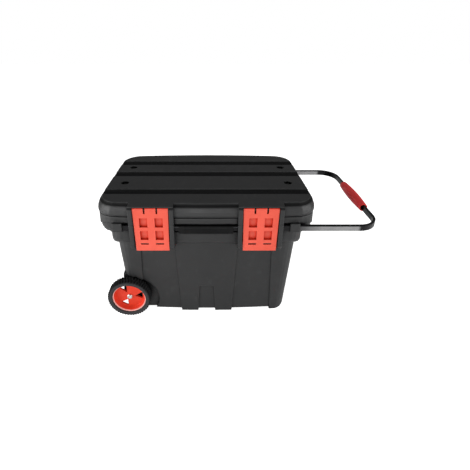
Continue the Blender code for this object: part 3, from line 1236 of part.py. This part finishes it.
def build_tray():
    """An open tray that rests on the rails by its rim, with a carrying wall and dividers."""
    half_x = TRAY_LENGTH / 2
    middle_x = TRAY_LEFT_X + half_x
    rim_z = RAIL_TOP_Z + GAP
    foot_z = rim_z - TRAY_DEPTH
    top_z = rim_z + TRAY_RIM_THICKNESS
    rim_half_y = MOUTH_HALF_Y - 2 * GAP

    def tray_ring(half_length, half_width, z):
        return [(x + middle_x, y, pz) for x, y, pz in rounded_ring(half_length, half_width, TRAY_RADIUS, z)]

    body_x = half_x - TRAY_RIM
    tray = loft("tray", [tray_ring(body_x - TRAY_TAPER, TRAY_HALF_Y - TRAY_TAPER, foot_z),
                         tray_ring(body_x, TRAY_HALF_Y, rim_z), tray_ring(half_x, rim_half_y, rim_z),
                         tray_ring(half_x, rim_half_y, top_z)])
    inner_x = body_x - TRAY_WALL
    inner_y = TRAY_HALF_Y - TRAY_WALL
    cut(tray, loft("tray_hollow", [tray_ring(inner_x - TRAY_TAPER, inner_y - TRAY_TAPER, foot_z + TRAY_WALL),
                                   tray_ring(inner_x, inner_y, rim_z),
                                   tray_ring(inner_x, inner_y, top_z + OVERRUN)]))
    half_wall = TRAY_HANDLE_THICKNESS / 2
    floor_z = foot_z + TRAY_WALL - SINK
    join(tray, box("tray_middle", (middle_x - half_wall, -inner_y - SINK, floor_z),
                   (middle_x + half_wall, inner_y + SINK, rim_z - TRAY_WALL)))
    handle_top = top_z + TRAY_HANDLE_HEIGHT
    arch = [(-TRAY_HANDLE_HALF_LENGTH, rim_z - 2 * TRAY_WALL),
            (TRAY_HANDLE_HALF_LENGTH, rim_z - 2 * TRAY_WALL)]
    arch += arc(TRAY_SLOT_HALF_LENGTH, handle_top - TRAY_SLOT_HEIGHT, TRAY_SLOT_HEIGHT, 0, 90, CURVE_STEPS)
    arch += arc(-TRAY_SLOT_HALF_LENGTH, handle_top - TRAY_SLOT_HEIGHT, TRAY_SLOT_HEIGHT, 90, 180, CURVE_STEPS)
    join(tray, extrude_x("tray_handle", arch, middle_x - half_wall + GAP, middle_x + half_wall - GAP))
    slot_top = handle_top - TRAY_SLOT_HEIGHT / 2
    slot_foot = slot_top - TRAY_SLOT_HEIGHT
    cut(tray, box("hand_slot", (middle_x - half_wall - OVERRUN, -TRAY_SLOT_HALF_LENGTH, slot_foot),
                  (middle_x + half_wall + OVERRUN, TRAY_SLOT_HALF_LENGTH, slot_top)))
    half_divider = TRAY_DIVIDER_THICKNESS / 2
    divider_top = rim_z - TRAY_DEPTH / 4
    for y in (-TRAY_HALF_Y / 3, TRAY_HALF_Y / 3):
        join(tray, box("tray_divider", (middle_x + half_wall - SINK, y - half_divider, floor_z),
                       (middle_x + inner_x - TRAY_TAPER / 2 + SINK, y + half_divider, divider_top)))
    return tray


def finish(item, material, parent, pivot=None):
    """Give an object its material and shading, set its origin on its pivot and parent it."""
    mesh = item.data
    if pivot is not None:
        mesh.transform(Matrix.Translation(-Vector(pivot)))
        item.location = pivot
    shape = bmesh.new()
    shape.from_mesh(mesh)
    bmesh.ops.remove_doubles(shape, verts=shape.verts, dist=GAP / 100)
    bmesh.ops.dissolve_degenerate(shape, edges=shape.edges, dist=GAP / 100)
    shape.to_mesh(mesh)
    shape.free()
    mesh.materials.clear()
    mesh.materials.append(material)
    mesh.shade_smooth()
    mesh.set_sharp_from_angle(angle=math.radians(30))
    item.parent = parent
    return item


def build_case():
    """Build every piece and parent it to the empty that carries the assembly."""
    clear_scene()
    root = bpy.data.objects.new("case_frame", None)
    bpy.context.scene.collection.objects.link(root)
    root.location = (-ORIGIN_X, 0.0, 0.0)
    black = make_material("black_plastic", BLACK_PLASTIC)
    red = make_material("red_plastic", RED_PLASTIC)
    steel = make_material("bright_steel", BRIGHT_STEEL)
    dark_steel = make_material("dark_steel", DARK_STEEL)
    painted = make_material("painted_bar", PAINTED_BAR)
    rubber = make_material("tyre_rubber", TYRE_RUBBER)

    finish(build_bin(), black, root)
    finish(build_lid(), black, root, (0.0, HINGE_AXIS_Y, SEAM_Z))
    finish(build_tray(), make_material("tray_plastic", TRAY_PLASTIC), root)
    handle_black = make_material("handle_plastic", HANDLE_PLASTIC)
    finish(build_carry_handle(), handle_black, root, (0.0, CARRY_PIVOT_Y, CARRY_PIVOT_Z))
    finish(build_pull_bar(), painted, root)
    finish(build_pull_grip(), make_material("grip_plastic", GRIP_PLASTIC), root)

    pin_reach = BAY_HALF_WIDTH + CHEEK_THICKNESS - WALL - GAP
    hinge_half = HINGE_KNUCKLES * HINGE_KNUCKLE_LENGTH / 2 + HINGE_PIN_OVERHANG
    carry_inner = CARRY_HALF_WIDTH - CARRY_PIN_GRIP
    carry_outer = CARRY_BAY_HALF + CARRY_PIN_GRIP
    for hand, label in ((-1, "left"), (1, "right")):
        latch = build_latch("latch_" + label)
        latch.location = (hand * LATCH_X, LATCH_PIVOT_Y, LATCH_PIVOT_Z)
        finish(latch, red, root)
        middle = hand * LATCH_X
        finish(cylinder_x("latch_pin_" + label, LATCH_PIVOT_Y, LATCH_PIVOT_Z, PIN_RADIUS,
                          middle - pin_reach, middle + pin_reach), dark_steel, root)
        middle = hand * HINGE_X
        finish(cylinder_x("hinge_pin_" + label, HINGE_AXIS_Y, SEAM_Z, PIN_RADIUS,
                          middle - hinge_half, middle + hinge_half), steel, root)
        finish(cylinder_x("carry_handle_pin_" + label, CARRY_PIVOT_Y, CARRY_PIVOT_Z, PIN_RADIUS,
                          *sorted((hand * carry_inner, hand * carry_outer))), steel, root)

    finish(build_axle(), steel, root)
    wheel_centre = (WHEEL_X, 0.0, WHEEL_RADIUS)
    for side, label in ((-1, "front"), (1, "rear")):
        finish(build_hub("wheel_hub_" + label, side), red, root, wheel_centre)
        finish(build_tyre("tyre_" + label, side), rubber, root, wheel_centre)
        finish(build_axle_cap("axle_cap_" + label, side), steel, root)
        finish(build_washer("wheel_washer_" + label, side), steel, root)
        finish(build_stop_pin("bar_stop_pin_" + label, side), dark_steel, root)


build_case()
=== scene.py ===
import json
import math

import bpy
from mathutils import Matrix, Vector


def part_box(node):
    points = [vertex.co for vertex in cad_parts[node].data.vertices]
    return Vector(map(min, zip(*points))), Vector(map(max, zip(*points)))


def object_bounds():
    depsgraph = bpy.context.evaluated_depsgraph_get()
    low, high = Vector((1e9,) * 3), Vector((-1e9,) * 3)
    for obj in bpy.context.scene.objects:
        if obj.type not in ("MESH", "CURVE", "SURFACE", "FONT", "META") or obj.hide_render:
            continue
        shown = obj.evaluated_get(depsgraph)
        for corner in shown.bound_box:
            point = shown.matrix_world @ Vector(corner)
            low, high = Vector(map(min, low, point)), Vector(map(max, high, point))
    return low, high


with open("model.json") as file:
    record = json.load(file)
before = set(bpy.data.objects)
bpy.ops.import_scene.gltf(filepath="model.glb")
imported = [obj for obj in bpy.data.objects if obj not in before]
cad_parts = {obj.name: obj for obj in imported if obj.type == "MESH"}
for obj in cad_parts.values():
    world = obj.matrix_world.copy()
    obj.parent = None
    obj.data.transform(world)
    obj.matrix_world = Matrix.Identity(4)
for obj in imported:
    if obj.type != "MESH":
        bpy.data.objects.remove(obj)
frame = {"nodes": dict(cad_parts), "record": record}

# The imported model's box
CAD_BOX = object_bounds()

# Camera, matched to the photograph: metres, degrees and a 470 pixel square frame
PHOTO_PIXELS = 470
FOCAL_PIXELS = 330
CENTRE_PIXEL = (211, 170)
CAMERA_PLACE = (-0.0814, -0.980, 0.829)
CAMERA_PITCH = -22.5
LEVEL_DEGREES = 90
SENSOR_MM = 36

# Surround and floor: the camera sees them as white, and they light the object more dimly
WHITE = (1.0, 1.0, 1.0, 1.0)
AMBIENT = 0.20
FLOOR_COLOUR = (0.93, 0.93, 0.93)
FLOOR_ROUGHNESS = 0.9
FLOOR_SPECULAR = 0.1
FLOOR_GLOW = 0.10
FLOOR_WHITE = 0.84
FLOOR_HALF = 9.0
FLOOR_DROP = 0.0003

# Softboxes: name, place, the point that it faces, width, height and watts
SOFTBOXES = (
    ("key", (-0.3, -2.3, 0.75), (0.0, 0.0, 0.2), 1.8, 0.9, 21),
    ("left_side", (-1.8, -0.9, 0.60), (-0.2, 0.0, 0.2), 1.3, 1.0, 28),
    ("right_side", (1.8, -0.9, 0.60), (0.2, 0.0, 0.2), 1.3, 1.0, 24),
    ("back", (0.2, 2.2, 0.20), (0.2, 0.0, 0.2), 2.2, 0.36, 11),
    ("top", (0.0, 0.3, 2.2), (0.0, 0.0, 0.2), 1.6, 1.2, 9),
)

# Corners of the nodes on which the materials change from place to place
LID_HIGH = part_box("lid")[1]
HUB_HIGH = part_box("wheel_hub_front")[1]
BAR_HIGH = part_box("pull_bar")[1]
TYRE_LOW, TYRE_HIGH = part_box("tyre_front")

# The lid's grooves, between two depths under its top, and the share of gloss left in them
GROOVE_FOOT_DEPTH = 0.0095
GROOVE_MOUTH_DEPTH = 0.0028
GROOVE_LOW = LID_HIGH.z - GROOVE_FOOT_DEPTH
GROOVE_HIGH = LID_HIGH.z - GROOVE_MOUTH_DEPTH
GROOVE_SOFT = 0.0006
GROOVE_SHINE = 0.25

# The wheels turn on one axle: a tyre's side and a hub's lip are rings round it
LUG_DEPTH = 0.004
HUB_LIP_WIDTH = 0.0036
WHEEL_X = (TYRE_LOW.x + TYRE_HIGH.x) / 2
WHEEL_Z = (TYRE_LOW.z + TYRE_HIGH.z) / 2
TYRE_SIDE_TOP = TYRE_HIGH.z - WHEEL_Z - LUG_DEPTH
TYRE_SIDE_SOFT = 0.0012
HUB_LIP_RADIUS = HUB_HIGH.z - WHEEL_Z - HUB_LIP_WIDTH
HUB_LIP_SOFT = 0.0006

# The pull bar turns from black to grey where it leaves the case, and is black again
# at its bend and along its top: the grey is a painted reflection on its black paint
BAR_BLACK_INSIDE = 0.067
BAR_GREY_OUTSIDE = 0.010
BAR_BEND_LENGTH = 0.060
BAR_TOP_BAND = 0.0027
BAR_BLACK_X = LID_HIGH.x - BAR_BLACK_INSIDE
BAR_GREY_X = LID_HIGH.x + BAR_GREY_OUTSIDE
BAR_BEND_X = BAR_HIGH.x - BAR_BEND_LENGTH
BAR_BEND_SOFT = 0.008
BAR_TOP_Z = BAR_HIGH.z - BAR_TOP_BAND
BAR_TOP_SOFT = 0.0008

# Colours of lips, hollows, rubber and the bar, as linear red, green and blue: painted shade in
# grooves and hollows, a painted highlight with wear on lips, a painted sheen on the rubber's side
# and a painted grey reflection on the bar
PAINTED_GROOVE_SHADE = (0.002, 0.002, 0.002)
LIP_HIGHLIGHT_AND_WEAR = (0.80, 0.40, 0.36)
RED_RECESS_SHADE = (0.56, 0.024, 0.008)
RED_IN_SHADOW = (0.10, 0.004, 0.002)
RUBBER_CLEAN = (0.005, 0.005, 0.006)
RUBBER_DUSTY = (0.009, 0.009, 0.009)
RUBBER_WORN = (0.10, 0.10, 0.10)
RUBBER_SIDE_GREY_AND_SHEEN = (0.028, 0.028, 0.029)
BAR_REFLECTION_GREY = (0.250, 0.250, 0.253)
BAR_PALE_REFLECTION_GREY = (0.320, 0.320, 0.323)
BAR_BLACK = (0.012, 0.012, 0.013)
BAR_TOP_BLACK = (0.008, 0.008, 0.009)
BAR_EDGE_BLACK = (0.020, 0.020, 0.020)

# How far a rounded normal leans, as 1 minus a cosine, where an edge begins and is full
EDGE_BEGINS = 0.02
EDGE_FULL = 0.30

# Samples of the nodes that look round a point
EDGE_SAMPLES = 4
SMOOTH_SAMPLES = 8
HOLLOW_SAMPLES = 8

# Sockets of the Mix node where it mixes colours, since their names are not unique
MIX_SHARE = 0
MIX_FIRST = 6
MIX_SECOND = 7
MIX_RESULT = 2

# Pieces with a look of their own inside their slot, named without their side
FINER_LOOKS = {"wheel_hub": "red_hub", "carry_handle_pin": "dull_steel"}


def build_camera():
    """The photograph's viewpoint: its shift puts the view's centre on CENTRE_PIXEL."""
    data = bpy.data.cameras.new("photo_camera")
    data.sensor_fit = 'HORIZONTAL'
    data.sensor_width = SENSOR_MM
    data.lens = SENSOR_MM * FOCAL_PIXELS / PHOTO_PIXELS
    middle = PHOTO_PIXELS / 2
    data.shift_x = (middle - CENTRE_PIXEL[0]) / PHOTO_PIXELS
    data.shift_y = (CENTRE_PIXEL[1] - middle) / PHOTO_PIXELS
    camera = bpy.data.objects.new("photo_camera", data)
    camera.location = CAMERA_PLACE
    camera.rotation_euler = (math.radians(LEVEL_DEGREES + CAMERA_PITCH), 0.0, 0.0)
    bpy.context.scene.collection.objects.link(camera)
    bpy.context.scene.camera = camera


def build_surround():
    """A world that is white to the camera and a dimmer light on the object."""
    world = bpy.data.worlds.new("studio")
    bpy.context.scene.world = world
    world.use_nodes = True
    nodes = world.node_tree.nodes
    links = world.node_tree.links
    nodes.clear()
    surround = nodes.new("ShaderNodeBackground")
    surround.inputs["Color"].default_value = WHITE
    surround.inputs["Strength"].default_value = AMBIENT
    backdrop = nodes.new("ShaderNodeBackground")
    backdrop.inputs["Color"].default_value = WHITE
    path = nodes.new("ShaderNodeLightPath")
    mix = nodes.new("ShaderNodeMixShader")
    output = nodes.new("ShaderNodeOutputWorld")
    links.new(path.outputs["Is Camera Ray"], mix.inputs["Fac"])
    links.new(surround.outputs["Background"], mix.inputs[1])
    links.new(backdrop.outputs["Background"], mix.inputs[2])
    links.new(mix.outputs["Shader"], output.inputs["Surface"])


def add_softbox(name, place, target, width, height, watts):
    """A rectangular area light that faces a point."""
    data = bpy.data.lights.new(name, 'AREA')
    data.shape = 'RECTANGLE'
    data.size = width
    data.size_y = height
    data.energy = watts
    light = bpy.data.objects.new(name, data)
    light.location = place
    facing = Vector(target) - light.location
    light.rotation_euler = facing.to_track_quat('-Z', 'Y').to_euler()
    bpy.context.scene.collection.objects.link(light)


def build_light():
    """The surround, and every softbox of the table."""
    build_surround()
    for softbox in SOFTBOXES:
        add_softbox(*softbox)


def floor_paper():
    """Matt pale paper with a faint glow, which is white to the camera."""
    material = bpy.data.materials.new("floor_paper")
    material.use_nodes = True
    nodes = material.node_tree.nodes
    links = material.node_tree.links
    shader = nodes["Principled BSDF"]
    shader.inputs["Base Color"].default_value = (*FLOOR_COLOUR, 1.0)
    shader.inputs["Roughness"].default_value = FLOOR_ROUGHNESS
    shader.inputs["Specular IOR Level"].default_value = FLOOR_SPECULAR
    shader.inputs["Emission Color"].default_value = WHITE
    path = nodes.new("ShaderNodeLightPath")
    glow = nodes.new("ShaderNodeMapRange")
    glow.inputs["To Min"].default_value = FLOOR_GLOW
    glow.inputs["To Max"].default_value = FLOOR_WHITE
    links.new(path.outputs["Is Camera Ray"], glow.inputs["Value"])
    links.new(glow.outputs["Result"], shader.inputs["Emission Strength"])
    return material


def build_floor():
    """A plain square of paper just under the wheels and feet."""
    mesh = bpy.data.meshes.new("floor")
    signs = ((-1, -1), (1, -1), (1, 1), (-1, 1))
    corners = [(FLOOR_HALF * x, FLOOR_HALF * y, 0.0) for x, y in signs]
    mesh.from_pydata(corners, [], [(0, 1, 2, 3)])
    floor = bpy.data.objects.new("floor", mesh)
    bpy.context.scene.collection.objects.link(floor)
    floor.location.z = CAD_BOX[0][2] - FLOOR_DROP
    mesh.materials.append(floor_paper())


def toned(colour, factor, lift=0.0):
    """A colour made paler or darker by a factor, and lifted by an amount."""
    return tuple(min(1.0, factor * value + lift) for value in colour)


class Surface:
    """A procedural material, built up by steps that each add nodes to it.

    Its edge is the radius in metres to which its sharp edges look rounded.
    """

    def __init__(self, name, roughness, edge, metallic=0.0, specular=0.5):
        self.material = bpy.data.materials.new(name)
        self.material.use_nodes = True
        self.nodes = self.material.node_tree.nodes
        self.links = self.material.node_tree.links
        self.shader = self.nodes["Principled BSDF"]
        self.shader.inputs["Roughness"].default_value = roughness
        self.shader.inputs["Metallic"].default_value = metallic
        self.shader.inputs["Specular IOR Level"].default_value = specular
        self.place = self.nodes.new("ShaderNodeTexCoord").outputs["Object"]
        self.rounded = self.smoother(edge, EDGE_SAMPLES)
        self.normal = self.rounded

    def smoother(self, radius, samples):
        """A normal rounded over edges of a radius; a wide one hides a corner's facets."""
        node = self.nodes.new("ShaderNodeBevel")
        node.samples = samples
        node.inputs["Radius"].default_value = radius
        return node.outputs["Normal"]

    def stretched(self, scale):
        """Coordinates scaled unevenly, for streaks and brushing."""
        mapping = self.nodes.new("ShaderNodeMapping")
        mapping.inputs["Scale"].default_value = scale
        self.links.new(self.place, mapping.inputs["Vector"])
        return mapping.outputs["Vector"]

    def noise(self, scale, detail, vector=None):
        """A noise value; scale is in bumps per metre."""
        node = self.nodes.new("ShaderNodeTexNoise")
        node.inputs["Scale"].default_value = scale
        node.inputs["Detail"].default_value = detail
        self.links.new(vector or self.place, node.inputs["Vector"])
        return node.outputs["Fac"]

    def pebbles(self, scale):
        """Distances from the middles of random cells, for moulded grain."""
        node = self.nodes.new("ShaderNodeTexVoronoi")
        node.inputs["Scale"].default_value = scale
        self.links.new(self.place, node.inputs["Vector"])
        return node.outputs["Distance"]

    def along(self, axis, vector=None):
        """The X, Y or Z of the place, or of another vector."""
        node = self.nodes.new("ShaderNodeSeparateXYZ")
        self.links.new(vector or self.place, node.inputs["Vector"])
        return node.outputs[axis]

    def facing_up(self):
        """1 on faces that look up or sideways at rest, 0 on undersides."""
        own_normal = self.nodes.new("ShaderNodeTexCoord").outputs["Normal"]
        return self.spread(self.along("Z", own_normal), low=-0.3, high=-0.1)

    def from_axle(self, x, z):
        """The distance from an axle that runs along Y."""
        moved = self.nodes.new("ShaderNodeVectorMath")
        moved.operation = 'SUBTRACT'
        moved.inputs[1].default_value = (x, 0.0, z)
        self.links.new(self.place, moved.inputs[0])
        flat = self.nodes.new("ShaderNodeVectorMath")
        flat.operation = 'MULTIPLY'
        flat.inputs[1].default_value = (1.0, 0.0, 1.0)
        self.links.new(moved.outputs["Vector"], flat.inputs[0])
        length = self.nodes.new("ShaderNodeVectorMath")
        length.operation = 'LENGTH'
        self.links.new(flat.outputs["Vector"], length.inputs[0])
        return length.outputs["Value"]

    def times(self, first, second):
        """The product of two values."""
        node = self.nodes.new("ShaderNodeMath")
        node.operation = 'MULTIPLY'
        self.links.new(first, node.inputs[0])
        self.links.new(second, node.inputs[1])
        return node.outputs["Value"]

    def spread(self, value, low, high, to_low=0.0, to_high=1.0):
        """A value stretched from one range to another and held inside it."""
        node = self.nodes.new("ShaderNodeMapRange")
        node.inputs["From Min"].default_value = low
        node.inputs["From Max"].default_value = high
        node.inputs["To Min"].default_value = to_low
        node.inputs["To Max"].default_value = to_high
        self.links.new(value, node.inputs["Value"])
        return node.outputs["Result"]

    def falling(self, value, low, high, top=1.0):
        """A value's ramp downwards: a top value at the low limit, 0 at the high one."""
        return self.spread(value, low, high, to_low=top, to_high=0.0)

    def faded(self, value, strength):
        """A value from 0 to 1 brought down to run from 0 to a strength."""
        return self.spread(value, low=0.0, high=1.0, to_high=strength)

    def between(self, value, low, high, soft):
        """1 where a value lies between two limits, 0 outside them, with soft ends."""
        above = self.spread(value, low - soft, low)
        below = self.falling(value, high, high + soft)
        return self.times(above, below)

    def blend(self, share, first, second):
        """A colour between two colours or colour sockets."""
        node = self.nodes.new("ShaderNodeMix")
        node.data_type = 'RGBA'
        for index, value in ((MIX_FIRST, first), (MIX_SECOND, second)):
            if isinstance(value, bpy.types.NodeSocket):
                self.links.new(value, node.inputs[index])
            else:
                node.inputs[index].default_value = (*value, 1.0)
        self.links.new(share, node.inputs[MIX_SHARE])
        return node.outputs[MIX_RESULT]

    def edges(self):
        """1 along sharp edges, 0 on flats, by how far the rounded normal leans."""
        geometry = self.nodes.new("ShaderNodeNewGeometry")
        dot = self.nodes.new("ShaderNodeVectorMath")
        dot.operation = 'DOT_PRODUCT'
        self.links.new(self.rounded, dot.inputs[0])
        self.links.new(geometry.outputs["Normal"], dot.inputs[1])
        return self.spread(dot.outputs["Value"], low=1.0 - EDGE_BEGINS, high=1.0 - EDGE_FULL)

    def hollows(self, reach):
        """How open the surface is round a point: 0 deep in a gap, 1 in the open."""
        node = self.nodes.new("ShaderNodeAmbientOcclusion")
        node.samples = HOLLOW_SAMPLES
        node.inputs["Distance"].default_value = reach
        return node.outputs["AO"]

    def dull_hollows(self, openness, low, high, gloss, groove=None):
        """Less gloss where dust and shadow gather: in seams and corners, and in grooves."""
        shine = self.spread(openness, low, high, to_high=gloss)
        if groove is not None:
            in_groove = self.spread(groove, low=0.0, high=1.0, to_low=1.0, to_high=GROOVE_SHINE)
            shine = self.times(shine, in_groove)
        self.links.new(shine, self.shader.inputs["Specular IOR Level"])

    def bump(self, height, strength, distance):
        """Relief added to the normal, in metres at full strength."""
        node = self.nodes.new("ShaderNodeBump")
        node.inputs["Strength"].default_value = strength
        node.inputs["Distance"].default_value = distance
        self.links.new(height, node.inputs["Height"])
        self.links.new(self.normal, node.inputs["Normal"])
        self.normal = node.outputs["Normal"]

    def done(self, colour, roughness):
        """Join the colour, roughness and normal to the shader."""
        self.links.new(colour, self.shader.inputs["Base Color"])
        self.links.new(roughness, self.shader.inputs["Roughness"])
        self.links.new(self.normal, self.shader.inputs["Normal"])
        return self.material


def moulded_black(name, dark, light, roughness, specular):
    """Grained black polypropylene: mottled, scuffed and pale at edges, with painted shade making
    it darkest in grooves.
    """
    surface = Surface(name, roughness, edge=0.0012, specular=specular)
    smooth = surface.smoother(radius=0.006, samples=SMOOTH_SAMPLES)
    mottle = surface.noise(scale=9.0, detail=4.0)
    colour = surface.blend(surface.spread(mottle, low=0.35, high=0.65), dark, light)
    scuffs = surface.noise(scale=60.0, detail=5.0, vector=surface.stretched((1.0, 0.25, 0.6)))
    scuffed = surface.spread(scuffs, low=0.60, high=0.72, to_high=0.35)
    colour = surface.blend(scuffed, colour, toned(light, factor=2.2))
    worn = surface.faded(surface.edges(), strength=0.28)
    colour = surface.blend(worn, colour, toned(light, factor=3.0))
    # Painted shade: faces that look up inside the grooves' band of height are painted towards
    # near black
    height = surface.along("Z")
    in_band = surface.between(height, GROOVE_LOW, GROOVE_HIGH, GROOVE_SOFT)
    groove = surface.times(in_band, surface.facing_up())
    colour = surface.blend(surface.faded(groove, strength=0.7), colour, PAINTED_GROOVE_SHADE)
    surface.normal = smooth
    surface.bump(surface.pebbles(scale=1400.0), strength=0.25, distance=0.00012)
    surface.bump(surface.noise(scale=45.0, detail=2.0), strength=0.15, distance=0.0006)
    haze = surface.noise(scale=25.0, detail=3.0)
    shine = surface.spread(
        haze, low=0.3, high=0.7, to_low=roughness - 0.06, to_high=roughness + 0.08)
    openness = surface.hollows(reach=0.022)
    surface.dull_hollows(openness, low=0.35, high=0.85, gloss=specular, groove=groove)
    return surface.done(colour, shine)


def moulded_red(name, deep, pale, roughness, specular=0.40, lip=None):
    """Satin red polypropylene with flow marks, fine grain and worn edges.

    With a lip radius it is pale from there outwards, partly wear and partly a painted highlight;
    otherwise it gets painted shade in its hollows.
    """
    surface = Surface(name, roughness, edge=0.0009, specular=specular)
    flow = surface.noise(scale=14.0, detail=4.0, vector=surface.stretched((1.0, 1.0, 0.4)))
    colour = surface.blend(surface.spread(flow, low=0.3, high=0.7), deep, pale)
    worn = surface.faded(surface.edges(), strength=0.5)
    colour = surface.blend(worn, colour, toned(pale, factor=1.25, lift=0.05))
    if lip is not None:
        # Painted highlight and wear: the hub is painted pale from its lip's radius outwards
        radius = surface.from_axle(WHEEL_X, WHEEL_Z)
        lip_highlight_and_wear = surface.spread(radius, low=lip, high=lip + HUB_LIP_SOFT)
        colour = surface.blend(lip_highlight_and_wear, colour, LIP_HIGHLIGHT_AND_WEAR)
    else:
        # Painted shade: recesses are painted a deeper red and the deepest hollows dark, by how
        # open the surface is
        openness = surface.hollows(reach=0.014)
        recess = surface.falling(openness, low=0.55, high=0.90, top=0.9)
        colour = surface.blend(recess, colour, RED_RECESS_SHADE)
        shadow = surface.falling(openness, low=0.20, high=0.55, top=0.9)
        colour = surface.blend(shadow, colour, RED_IN_SHADOW)
        surface.dull_hollows(openness, low=0.35, high=0.90, gloss=specular)
    scratches = surface.noise(scale=320.0, detail=2.0, vector=surface.stretched((0.12, 1.0, 1.0)))
    shine = surface.spread(
        scratches, low=0.35, high=0.75, to_low=roughness - 0.05, to_high=roughness + 0.14)
    surface.bump(surface.pebbles(scale=1800.0), strength=0.15, distance=0.00008)
    return surface.done(colour, shine)


def tyre_rubber():
    """Matt rubber, dusty in patches, worn at its edges and greyer on its side, partly its own
    grey and partly a painted sheen.
    """
    surface = Surface("tyre_rubber", roughness=0.85, edge=0.0008, specular=0.25)
    dust = surface.noise(scale=38.0, detail=5.0)
    dusty = surface.spread(dust, low=0.35, high=0.70)
    colour = surface.blend(dusty, RUBBER_CLEAN, RUBBER_DUSTY)
    worn = surface.faded(surface.edges(), strength=0.35)
    colour = surface.blend(worn, colour, RUBBER_WORN)
    # The side ring is painted greyer: partly the rubber's own grey, partly a painted sheen of
    # light
    radius = surface.from_axle(WHEEL_X, WHEEL_Z)
    side = surface.falling(radius, TYRE_SIDE_TOP - TYRE_SIDE_SOFT, TYRE_SIDE_TOP)
    colour = surface.blend(side, colour, RUBBER_SIDE_GREY_AND_SHEEN)
    surface.bump(surface.noise(scale=700.0, detail=3.0), strength=0.35, distance=0.0003)
    shine = surface.spread(dust, low=0.3, high=0.7, to_low=0.72, to_high=0.95)
    return surface.done(colour, shine)


def painted_bar():
    """Satin paint over steel: a painted grey reflection where its straights stand out, and black
    elsewhere.
    """
    surface = Surface("painted_bar", roughness=0.26, edge=0.0008, metallic=0.85, specular=0.6)
    tone = surface.noise(scale=22.0, detail=3.0)
    grey = surface.blend(surface.spread(tone, low=0.3, high=0.7), BAR_REFLECTION_GREY, BAR_PALE_REFLECTION_GREY)
    # Painted reflection: the straights outside the case are painted grey, short of the bend and
    # top
    outside = surface.spread(surface.along("X"), BAR_BLACK_X, BAR_GREY_X)
    straight = surface.falling(surface.along("X"), BAR_BEND_X - BAR_BEND_SOFT, BAR_BEND_X)
    colour = surface.blend(surface.times(outside, straight), BAR_BLACK, grey)
    upper = surface.spread(surface.along("Z"), BAR_TOP_Z - BAR_TOP_SOFT, BAR_TOP_Z)
    colour = surface.blend(upper, colour, BAR_TOP_BLACK)
    edge = surface.faded(surface.edges(), strength=0.4)
    colour = surface.blend(edge, colour, BAR_EDGE_BLACK)
    streaks = surface.noise(scale=200.0, detail=2.0, vector=surface.stretched((0.05, 1.0, 1.0)))
    shine = surface.spread(streaks, low=0.35, high=0.70, to_low=0.22, to_high=0.38)
    surface.bump(surface.noise(scale=420.0, detail=1.0), strength=0.20, distance=0.0002)
    return surface.done(colour, shine)


def turned_steel(name, tone, roughness):
    """Steel with fine turned lines and a few duller spots."""
    surface = Surface(name, roughness, edge=0.0004, metallic=1.0)
    spots = surface.noise(scale=160.0, detail=4.0)
    spotted = surface.spread(spots, low=0.35, high=0.65)
    colour = surface.blend(spotted, toned(tone, factor=0.82), tone)
    lines = surface.noise(scale=2500.0, detail=1.0, vector=surface.stretched((0.2, 1.0, 0.2)))
    shine = surface.spread(
        spots, low=0.3, high=0.7, to_low=roughness - 0.06, to_high=roughness + 0.10)
    surface.bump(lines, strength=0.12, distance=0.00005)
    return surface.done(colour, shine)


def build_materials():
    """A material for each slot of the record, and one for each finer look."""
    return {
        "black_plastic": moulded_black(
            "black_plastic", dark=(0.0075, 0.0078, 0.0082), light=(0.0105, 0.0108, 0.0112),
            roughness=0.46, specular=0.45),
        "tray_plastic": moulded_black(
            "tray_plastic", dark=(0.022, 0.023, 0.024), light=(0.028, 0.029, 0.030),
            roughness=0.52, specular=0.45),
        "handle_plastic": moulded_black(
            "handle_plastic", dark=(0.0020, 0.0021, 0.0023), light=(0.0036, 0.0037, 0.0039),
            roughness=0.50, specular=0.12),
        "red_plastic": moulded_red(
            "red_plastic", deep=(0.60, 0.064, 0.034), pale=(0.68, 0.085, 0.050), roughness=0.38),
        "red_hub": moulded_red(
            "red_hub", deep=(0.60, 0.036, 0.014), pale=(0.68, 0.050, 0.022),
            roughness=0.44, specular=0.22, lip=HUB_LIP_RADIUS),
        "dull_steel": turned_steel("dull_steel", tone=(0.045, 0.045, 0.048), roughness=0.50),
        "grip_plastic": moulded_red(
            "grip_plastic", deep=(0.62, 0.030, 0.032), pale=(0.72, 0.044, 0.046),
            roughness=0.50, specular=0.25),
        "painted_bar": painted_bar(),
        "bright_steel": turned_steel("bright_steel", tone=(0.72, 0.72, 0.70), roughness=0.26),
        "dark_steel": turned_steel("dark_steel", tone=(0.22, 0.22, 0.23), roughness=0.38),
        "tyre_rubber": tyre_rubber(),
    }


def dress(node, material):
    """Give a CAD node its material."""
    mesh = frame["nodes"][node].data
    mesh.materials.clear()
    mesh.materials.append(material)


def dress_all():
    """Every CAD node gets its slot's material, or the finer look of its piece."""
    materials = build_materials()
    for row in frame["record"]["subparts"]:
        piece = row["node"].rsplit("_", 1)[0]
        look = FINER_LOOKS.get(piece, row["material_slot"])
        dress(row["node"], materials[look])


build_camera()
build_light()
build_floor()
dress_all()
bpy.context.scene.view_settings.view_transform = 'Standard'
